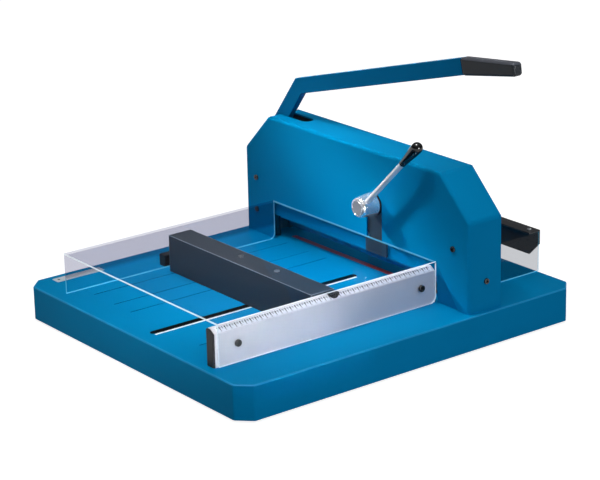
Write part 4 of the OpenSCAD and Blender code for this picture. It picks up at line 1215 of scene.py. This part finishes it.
@dataclass
class ClampLever(SubAssembly):
    """The clamp's hub, rod and knob.

    The hub's front edge is each point's inset from the front's radius and its depth. The groove is each
    point's offset from its middle radius and its depth, and the centre mark is radius and depth.
    """

    body: Body = Body.CLAMP_LEVER
    hub_sides: int = 64
    back_edge_mm: float = 1.0
    front_edge_mm: Pairs = ((0.0, 8.0), (0.4, 5.0), (1.1, 2.4), (2.0, 0.8), (3.2, 0.0))
    front_zone_mm: float = 3.0
    groove_mm: float = 13.0
    groove_cut_mm: Pairs = ((0.9, 0.0), (0.4, 0.8), (-0.4, 0.8), (-0.9, 0.0))
    centre_mark_mm: Pairs = ((3.0, 0.0), (0.0, 1.6))
    face_in_mm: float = 2.4
    face_front: float = 0.8
    rod_edge_mm: float = 0.4

    def build(self) -> None:
        """Builds the turned hub and dresses the rod and the knob."""
        low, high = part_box("clamp_hub")
        middle = Vector(((low.x + high.x) / 2, high.y, (low.z + high.z) / 2))
        ends = [v.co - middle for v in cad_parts["clamp_hub"].data.vertices]
        zone = low.y - high.y + self.front_zone_mm * MM
        front = max(math.hypot(p.x, p.z) for p in ends if p.y < zone) / MM
        back, length = (high.x - low.x) / 2 / MM, (high.y - low.y) / MM
        profile = [(0.0, 0.0), (back - self.back_edge_mm, 0.0), (back, self.back_edge_mm)]
        profile += [(front - inset, length - deep) for inset, deep in self.front_edge_mm]
        profile += [(self.groove_mm + off, length - deep) for off, deep in self.groove_cut_mm]
        profile += [(radius, length - deep) for radius, deep in self.centre_mark_mm]
        bm = lathe(profile, self.hub_sides)
        to_front = Matrix.Translation(middle) @ Matrix.Rotation(math.radians(90), 4, "X")
        bmesh.ops.transform(bm, matrix=to_front, verts=bm.verts)
        for face in bm.faces:
            radius = math.hypot(*(face.calc_center_median() - middle).xz) / MM
            polished = face.normal.y < -self.face_front and radius < front - self.face_in_mm
            face.material_index = 1 if polished else 0
        self.dress("clamp_hub", bm, CHROME_BRIGHT, CHROME_FACE)
        self.soften("clamp_rod", CHROME, self.rod_edge_mm)
        self.soften("clamp_knob", BLACK_PHENOLIC)


@dataclass
class BackGauge(SubAssembly):
    """The back gauge's beam, screws and pointer, and its slider."""

    body: Body = Body.GAUGE
    edge_mm: float = 0.9
    pointer_edge_mm: float = 0.45

    def build(self) -> None:
        """Builds the beam, its screws and the pointer, whose front outline is rounded."""
        bm = cad_mesh("gauge_beam")
        # The rounded edges take the painted highlight
        round_edges(bm, self.edge_mm, least_mm2=2000, strip=1)
        self.dress("gauge_beam", bm, GREY_COAT, GREY_PAINTED_HIGHLIGHT)
        SocketScrews().build(self, "gauge_screws", ZINC_STEEL)
        bm = cad_mesh("gauge_pointer")
        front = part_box("gauge_pointer")[1].x - self.edge_mm * MM
        round_edges(bm, self.pointer_edge_mm, pick=lambda e: all(v.co.x > front for v in e.verts))
        self.dress("gauge_pointer", bm, BLACK_NYLON)
        self.paint(ZINC_STEEL, "gauge_slider")
        self.paint(DARK_PLATE, "gauge_keeper")


@dataclass
class SideRail(SubAssembly):
    """The aluminium rail with its ruler, end cap and screws.

    A tick is of rank 0, 1 at every fifth and 2 at every tenth millimetre. With each rank it gets longer by
    a share of the shortest length, and broader by a share of the width.
    """

    rail_edge_mm: float = 0.5
    cap_edge_mm: float = 1.2
    strip_edge_mm: float = 0.1
    blade_y_mm: float = 157.0
    tick_mm: float = 0.34
    tick_high_mm: float = 0.04
    tick_in_mm: float = 0.6
    short_mm: float = 3.4
    longer: float = 0.5
    thinnest: float = 0.7
    broader: float = 1.8
    bare_ends: int = 3
    number_mm: float = 3.2
    number_up_mm: float = 0.8
    same_way: float = 0.999

    def build(self) -> None:
        """Builds the rail and everything on it."""
        self.soften("side_rail", ANODISED, self.rail_edge_mm, least_mm=30)
        self.soften("rail_end_cap", BLACK_NYLON, self.cap_edge_mm, least_mm=2)
        self.soften("ruler_strip", RULER_FOIL, self.strip_edge_mm, least_mm=5)
        SocketScrews().build(self, "rail_screws", BLACK_OXIDE)
        self.build_ruler()

    def strip_frame(self) -> tuple[Matrix, float, float]:
        """Finds the ruler's face.

        Returns:
            A matrix from a plane with X along the machine, Y up the slope and Z out of it, with its
            origin on the face's lower edge at the blade, the face's height and its nearest place.
        """
        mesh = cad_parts["ruler_strip"].data
        face = max(mesh.polygons, key=lambda p: p.area * max(p.normal.x, 0.0) * max(p.normal.z, 0.0))
        out = face.normal.copy()
        up = Vector((-out.z, 0.0, out.x))
        faces = [p for p in mesh.polygons if p.normal.dot(out) > self.same_way]
        points = [mesh.vertices[i].co for p in faces for i in p.vertices]
        heights = [p.dot(up) for p in points]
        foot = points[heights.index(min(heights))]
        origin = Vector((foot.x, self.blade_y_mm * MM, foot.z))
        axes = Matrix((Vector((0, 1, 0)), up, out)).transposed().to_4x4()
        return Matrix.Translation(origin) @ axes, max(heights) - min(heights), min(p.y for p in points)

    def tick_tree(self) -> Tree:
        """Builds the tree that draws the ruler's ticks from the blade towards the near end.

        Returns:
            The tree.
        """
        sizes = ("Pitch", "Height", "Short", "Width", "Relief")
        inputs = {"First": "Int", "Count": "Int", **dict.fromkeys(sizes, "Float"), "Finish": "Material"}
        tree, given = new_tree("ruler_ticks", inputs)
        sums: dict[str, Socket] = {label: given.outputs[label] for label in inputs}
        sums["index"] = add_node(tree, "GeometryNodeInputIndex").outputs[0]
        steps = (
            ("number", "ADD", "index", "First"),
            ("past five", "MODULO", "number", 5.0),
            ("past ten", "MODULO", "number", 10.0),
            ("fifth", "LESS_THAN", "past five", 0.5),
            ("tenth", "LESS_THAN", "past ten", 0.5),
            ("rank", "ADD", "fifth", "tenth"),
            ("longer", "MULTIPLY_ADD", "rank", self.longer, 1.0),
            ("length", "MULTIPLY", "Short", "longer"),
            ("broader", "MULTIPLY_ADD", "rank", self.broader, self.thinnest),
            ("breadth", "MULTIPLY", "Width", "broader"),
            ("step", "MULTIPLY", "Pitch", -1.0),
            ("start", "MULTIPLY", "step", "First"),
        )
        for name, operation, *terms in steps:
            values = {i: term for i, term in enumerate(terms) if not isinstance(term, str)}
            links = {i: sums[term] for i, term in enumerate(terms) if isinstance(term, str)}
            sums[name] = add_node(tree, "ShaderNodeMath", values, links, operation=operation).outputs[0]
        start, step, size = (
            add_node(tree, "ShaderNodeCombineXYZ", links={i: sums[name] for i, name in enumerate(names)})
            for names in (("start", "Height"), ("step",), ("breadth", "length", "Relief"))
        )
        links = {"Count": sums["Count"], "Start Location": start.outputs[0], "Offset": step.outputs[0]}
        line = add_node(tree, "GeometryNodeMeshLine", links=links)
        box = {"Geometry": add_node(tree, "GeometryNodeMeshCube").outputs[0]}
        hung = add_node(tree, "GeometryNodeTransform", {"Translation": (0.0, -0.5, 0.0)}, box)
        links = {"Points": line.outputs[0], "Instance": hung.outputs[0], "Scale": size.outputs[0]}
        ticks = add_node(tree, "GeometryNodeInstanceOnPoints", links=links)
        end_tree(tree, ticks.outputs[0], sums["Finish"])
        return tree

    def build_ruler(self) -> None:
        """Builds the ruler's ticks, one to a millimetre, and a plain number at each centimetre."""
        place, height, near = self.strip_frame()
        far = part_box("ruler_strip")[1].y / MM
        first = math.ceil(self.blade_y_mm - far) + self.bare_ends
        last = math.floor(self.blade_y_mm - near / MM) - self.bare_ends
        sizes = {
            "First": first,
            "Count": last - first + 1,
            "Pitch": MM,
            "Height": height - self.tick_in_mm * MM,
            "Short": self.short_mm * MM,
            "Width": self.tick_mm * MM,
            "Relief": self.tick_high_mm * MM,
        }
        piece = stand("ruler_ticks", bpy.data.meshes.new("ruler_ticks"))
        grow(piece, self.tick_tree(), {"Finish": RULER_INK.material(), **sizes})
        piece.data.transform(place)
        self.keep(piece, RULER_INK)
        self.build_numbers(place, [n for n in range(first, last) if n % 10 == 0])

    def build_numbers(self, place: Matrix, numbers: list[int]) -> None:
        """Builds the ruler's plain numbers.

        Args:
            place: The matrix of the ruler's face.
            numbers: The places of the numbers from the blade, in millimetres.
        """
        bm = bmesh.new()
        for number in numbers:
            words = bpy.data.curves.new("number", "FONT")
            words.body = str(number // 10)
            words.size = self.number_mm * MM
            words.align_x = "CENTER"
            shown = stand("number", words)
            graph = bpy.context.evaluated_depsgraph_get()
            flat = bpy.data.meshes.new_from_object(shown.evaluated_get(graph))
            at = Vector((-number, self.number_up_mm, self.tick_high_mm / 2)) * MM
            flat.transform(place @ Matrix.Translation(at))
            bm.from_mesh(flat)
            bpy.data.objects.remove(shown)
            bpy.data.curves.remove(words)
            bpy.data.meshes.remove(flat)
        self.keep(as_piece("ruler_numbers", bm, RULER_INK), RULER_INK)


@dataclass
class ClearGuard(SubAssembly):
    """A clear guard of one top and two walls, whose sheet edges have a painted glow."""

    under_mm: float = 134.0
    grey_mm: float = 92.0
    corner_mm: float = 1.2
    near_mm: float = 0.01
    gap_mm: float = 0.2
    polished: bool = False

    def shines(self, edge: Edge) -> bool:
        """Tells whether an edge is bevelled, and so takes a painted glow.

        Args:
            edge: The edge.

        Returns:
            True along the feet of both walls, and along the top of the right one where that is polished and
            takes the white painted glow.
        """
        lengthwise = all(abs(f.normal.y) < SIDEWAYS for f in edge.link_faces)
        x, _, z = edge.verts[0].co / MM
        return lengthwise and (z < self.under_mm or (self.polished and x > 0))

    def sheet_of(self, face: Face) -> SheetPart:
        """Tells which part of the guard a face is.

        Args:
            face: The face.

        Returns:
            The part.
        """
        x, _, z = face.calc_center_median() / MM
        top, nearest = z > self.under_mm, face.normal.y < -FACING
        if abs(face.normal.x) > FACING:
            return SheetPart.RIGHT_WALL if x > 0 else SheetPart.LEFT_WALL
        if abs(face.normal.z) > FACING and top:
            return SheetPart.TOP
        if nearest and self.grey_mm < z < self.under_mm and x < 0:
            return SheetPart.LEFT_WALL
        # On a polished guard the right and near edges take the white painted glow; other edges take the blue
        # painted glow
        bright = (x > 0 and not top) or (nearest and (top or x > 0))
        return SheetPart.POLISHED_EDGE if self.polished and bright else SheetPart.PLAIN_EDGE

    def build_sheet(self, node: str, right: Finish) -> None:
        """Builds the guard's sheets, which are too clear to cast a shadow, a hair off the rail.

        Args:
            node: The CAD node.
            right: The finish of the right wall.
        """
        bm = cad_mesh(node)
        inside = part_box("side_rail")[1].x
        for vert in bm.verts:
            if abs(vert.co.x - inside) < self.near_mm * MM:
                vert.co.x += self.gap_mm * MM
        for height in (self.grey_mm, self.under_mm):
            cut(bm, (0, 0, height * MM), (0, 0, 1))
        mark(bm, self.sheet_of)
        round_edges(bm, self.corner_mm, least_mm=50, strip=SheetPart.ROUNDED_EDGE, pick=self.shines)
        # Rounded edges on the right of a polished guard take the white painted glow, the rest the blue one
        for face in bm.faces:
            if face.material_index == SheetPart.ROUNDED_EDGE:
                bright = self.polished and face.calc_center_median().x > 0
                face.material_index = SheetPart.POLISHED_EDGE if bright else SheetPart.PLAIN_EDGE
        piece = self.dress(node, bm, ACRYLIC, SHEET_EDGE_WHITE_GLOW, ACRYLIC_WALL, right, SHEET_EDGE_BLUE_GLOW)
        piece.visible_shadow = False


@dataclass
class RearGuard(ClearGuard):
    """The clear guard over the back gauge, with its bracket."""

    polished: bool = True
    bracket_edge_mm: float = 0.6

    def build(self) -> None:
        """Builds the guard, its bracket and the bracket's screw."""
        self.build_sheet("rear_guard", ACRYLIC)
        self.soften("guard_bracket", BLACK_NYLON, self.bracket_edge_mm, least_mm=2)
        SocketScrews().build(self, "bracket_screw", ZINC_STEEL)


@dataclass
class FrontGuard(ClearGuard):
    """The clear guard on the delivery side, with its black lip and hinge leaves."""

    body: Body = Body.FRONT_GUARD
    lip_edge_mm: float = 1.0
    leaf_edge_mm: float = 0.4
    screw_edge_mm: float = 0.5

    def build(self) -> None:
        """Builds the guard, its lip, leaves and screws."""
        self.build_sheet("front_guard", ACRYLIC_DULL)
        self.soften("guard_lip", BLACK_ABS, self.lip_edge_mm, least_mm=2)
        self.soften("hinge_leaves", BLACK_OXIDE, self.leaf_edge_mm, least_mm=3)
        self.soften("lip_screws", ZINC_STEEL, self.screw_edge_mm)


@dataclass
class Hinges(SubAssembly):
    """The fixed half of the front guard's hinges."""

    bracket_edge_mm: float = 0.4

    def build(self) -> None:
        """Builds the brackets and the pins."""
        self.soften("hinge_brackets", BLACK_OXIDE, self.bracket_edge_mm, least_mm=3)
        self.paint(ZINC_STEEL, "hinge_pins")


@dataclass
class Lamp:
    """A soft box that mirrors don't show: its place, its aim, and its size, power, spread and colour."""

    name: str
    at: Triple
    aim: Triple
    size: tuple[float, float]
    power: float
    spread: float = 180.0
    colour: str = "#ffffff"

    def build(self) -> None:
        """Hangs the soft box."""
        light = bpy.data.lights.new(self.name, "AREA")
        light.shape = "RECTANGLE"
        light.size, light.size_y = self.size
        light.energy = self.power
        light.spread = math.radians(self.spread)
        light.color = linear(self.colour)[:3]
        box = stand(self.name, light)
        box.visible_glossy = False
        box.location = self.at
        aim = Vector(self.aim) - Vector(self.at)
        box.rotation_euler = aim.to_track_quat("-Z", "Y").to_euler()


@dataclass
class Studio:
    """The camera, the pale floor and the lights.

    The floor's lift is the glow of its paper where it is seen, so that it shows as white. The surround is
    dim up to the lower height and bright from the upper one. The glints are the directions of two windows
    that only mirrors show, full over a share of their radius.
    """

    eye: Triple = (2.86365, -2.17868, 1.3612)
    azimuth: float = 52.669
    elevation: float = 18.682
    roll: float = -1.3145
    focal_px: float = 2198.31
    picture_px: float = 600.0
    sensor_mm: float = 36.0
    reach_m: float = 100.0
    floor_m: float = 14.0
    paper: str = "#a8a8a8"
    lift: float = 0.86
    zenith: float = 0.6
    horizon: float = 0.08
    heights: tuple[float, float] = (0.36, 0.9)
    glints: tuple[Triple, ...] = ((-0.05, -0.17, 0.98), (0.99, -0.05, 0.06))
    glint_deg: float = 12.0
    glint_full: float = 0.7
    glint: float = 36.0
    lamps: tuple[Lamp, ...] = (
        Lamp("top_box", (-0.2, -0.4, 2.3), (0.0, 0.0, 0.1), (2.0, 2.0), 11.5),
        Lamp("table_box", (-0.1, -0.6, 1.9), (0.0, -0.04, 0.06), (0.4, 0.4), 0.8, 20.0),
        Lamp("face_box", (-1.85, -0.87, 1.56), (0.07, 0.12, 0.15), (0.24, 0.12), 0.18, 6.5),
        Lamp("side_box", (2.6, -0.3, 1.3), (0.2, 0.0, 0.15), (1.4, 1.4), 22.0, colour="#e2edff"),
        Lamp("rail_box", (2.4, -1.0, 0.45), (0.22, -0.3, 0.12), (0.4, 0.06), 0.1, 5.0),
        Lamp("back_box", (-0.7, 2.6, 0.5), (0.0, 0.2, 0.2), (1.4, 1.4), 9.0),
    )

    def build(self) -> None:
        """Builds the camera, the lamps, the world and the floor."""
        self.build_camera()
        self.build_world()
        self.build_floor()
        for lamp in self.lamps:
            lamp.build()
        bpy.context.scene.view_settings.view_transform = "Standard"

    def build_camera(self) -> None:
        """Stands the camera where the fit to the photograph puts it."""
        az, el, ro = (math.radians(a) for a in (self.azimuth, self.elevation, self.roll))
        right = Vector((math.cos(az), math.sin(az), 0.0))
        ahead = Vector((-math.sin(az) * math.cos(el), math.cos(az) * math.cos(el), -math.sin(el)))
        up = right.cross(ahead)
        across = right * math.cos(ro) + up * math.sin(ro)
        above = up * math.cos(ro) - right * math.sin(ro)
        lens = bpy.data.cameras.new("camera")
        lens.sensor_fit = "HORIZONTAL"
        lens.sensor_width = self.sensor_mm
        lens.lens = self.focal_px / self.picture_px * self.sensor_mm
        lens.clip_end = self.reach_m
        camera = stand("camera", lens)
        axes = Matrix((across, above, -ahead)).transposed().to_4x4()
        camera.matrix_world = Matrix.Translation(Vector(self.eye)) @ axes
        bpy.context.scene.camera = camera

    def build_world(self) -> None:
        """Makes a surround that is bright overhead and dim at the horizon, with windows for mirrors."""
        world = bpy.data.worlds.new("white_studio")
        tree = bare_tree(world)
        aim = add_node(tree, "ShaderNodeTexCoord").outputs["Generated"]
        height = add_node(tree, "ShaderNodeSeparateXYZ", links={0: aim}).outputs[2]
        low, high = self.heights
        span = {"From Min": low, "From Max": high, "To Min": self.horizon, "To Max": self.zenith}
        level = add_node(tree, "ShaderNodeMapRange", span, {"Value": height}).outputs[0]
        mirrored = add_node(tree, "ShaderNodeLightPath").outputs["Is Glossy Ray"]
        rim, core = (math.cos(math.radians(self.glint_deg * share)) for share in (1.0, self.glint_full))
        span = {"From Min": rim, "From Max": core, "To Max": self.glint}
        for place in self.glints:
            middle = {1: Vector(place).normalized()}
            near = add_node(tree, "ShaderNodeVectorMath", middle, {0: aim}, operation="DOT_PRODUCT")
            spot = add_node(tree, "ShaderNodeMapRange", span, {"Value": near.outputs["Value"]})
            links = {0: spot.outputs[0], 1: mirrored, 2: level}
            level = add_node(tree, "ShaderNodeMath", links=links, operation="MULTIPLY_ADD").outputs[0]
        white = {"Color": linear("#ffffff")}
        soft = add_node(tree, "ShaderNodeBackground", white, {"Strength": level})
        add_node(tree, "ShaderNodeOutputWorld", links={"Surface": soft.outputs[0]})
        bpy.context.scene.world = world

    def seen(self, tree: Tree) -> Socket:
        """Picks out the rays that show the background: from the camera, in a mirror or through glass.

        Args:
            tree: The tree that takes the nodes.

        Returns:
            1 for such rays and 0 for others.
        """
        rays = add_node(tree, "ShaderNodeLightPath").outputs
        shown = rays["Is Camera Ray"]
        for kind in ("Is Glossy Ray", "Is Transmission Ray"):
            links = {0: shown, 1: rays[kind]}
            shown = add_node(tree, "ShaderNodeMath", links=links, operation="MAXIMUM").outputs[0]
        return shown

    def build_floor(self) -> None:
        """Lays the pale floor, which keeps the object's shadow."""
        bm = bmesh.new()
        bmesh.ops.create_grid(bm, x_segments=1, y_segments=1, size=self.floor_m)
        mesh = as_mesh("floor", bm)
        material = bpy.data.materials.new("white_paper")
        tree = bare_tree(material)
        paper = add_node(tree, "ShaderNodeBsdfDiffuse", {"Color": linear(self.paper)})
        lift = add_node(tree, "ShaderNodeMath", {1: self.lift}, {0: self.seen(tree)}, operation="MULTIPLY")
        glow = add_node(tree, "ShaderNodeEmission", links={"Strength": lift.outputs[0]})
        both = add_node(tree, "ShaderNodeAddShader", links={0: paper.outputs[0], 1: glow.outputs[0]})
        add_node(tree, "ShaderNodeOutputMaterial", links={"Surface": both.outputs[0]})
        mesh.materials.append(material)
        stand("floor", mesh)


def main() -> None:
    """Builds the studio and the machine's sub-assemblies in order, and reports each piece."""
    logging.basicConfig(level=logging.INFO, format="%(name)s: %(message)s")
    Studio().build()
    parts = (
        BaseTable(), Housing(), Lever(), BladeCarrier(), SwingLink(), Clamp(), ClampLever(), BackGauge(),
        SideRail(), RearGuard(), FrontGuard(), Hinges(),
    )
    for part in parts:
        part.build()
        for piece in part.pieces:
            log.info("%s on %s, %d faces", piece.name, part.body.value, len(piece.data.polygons))


if __name__ == "__main__":
    main()
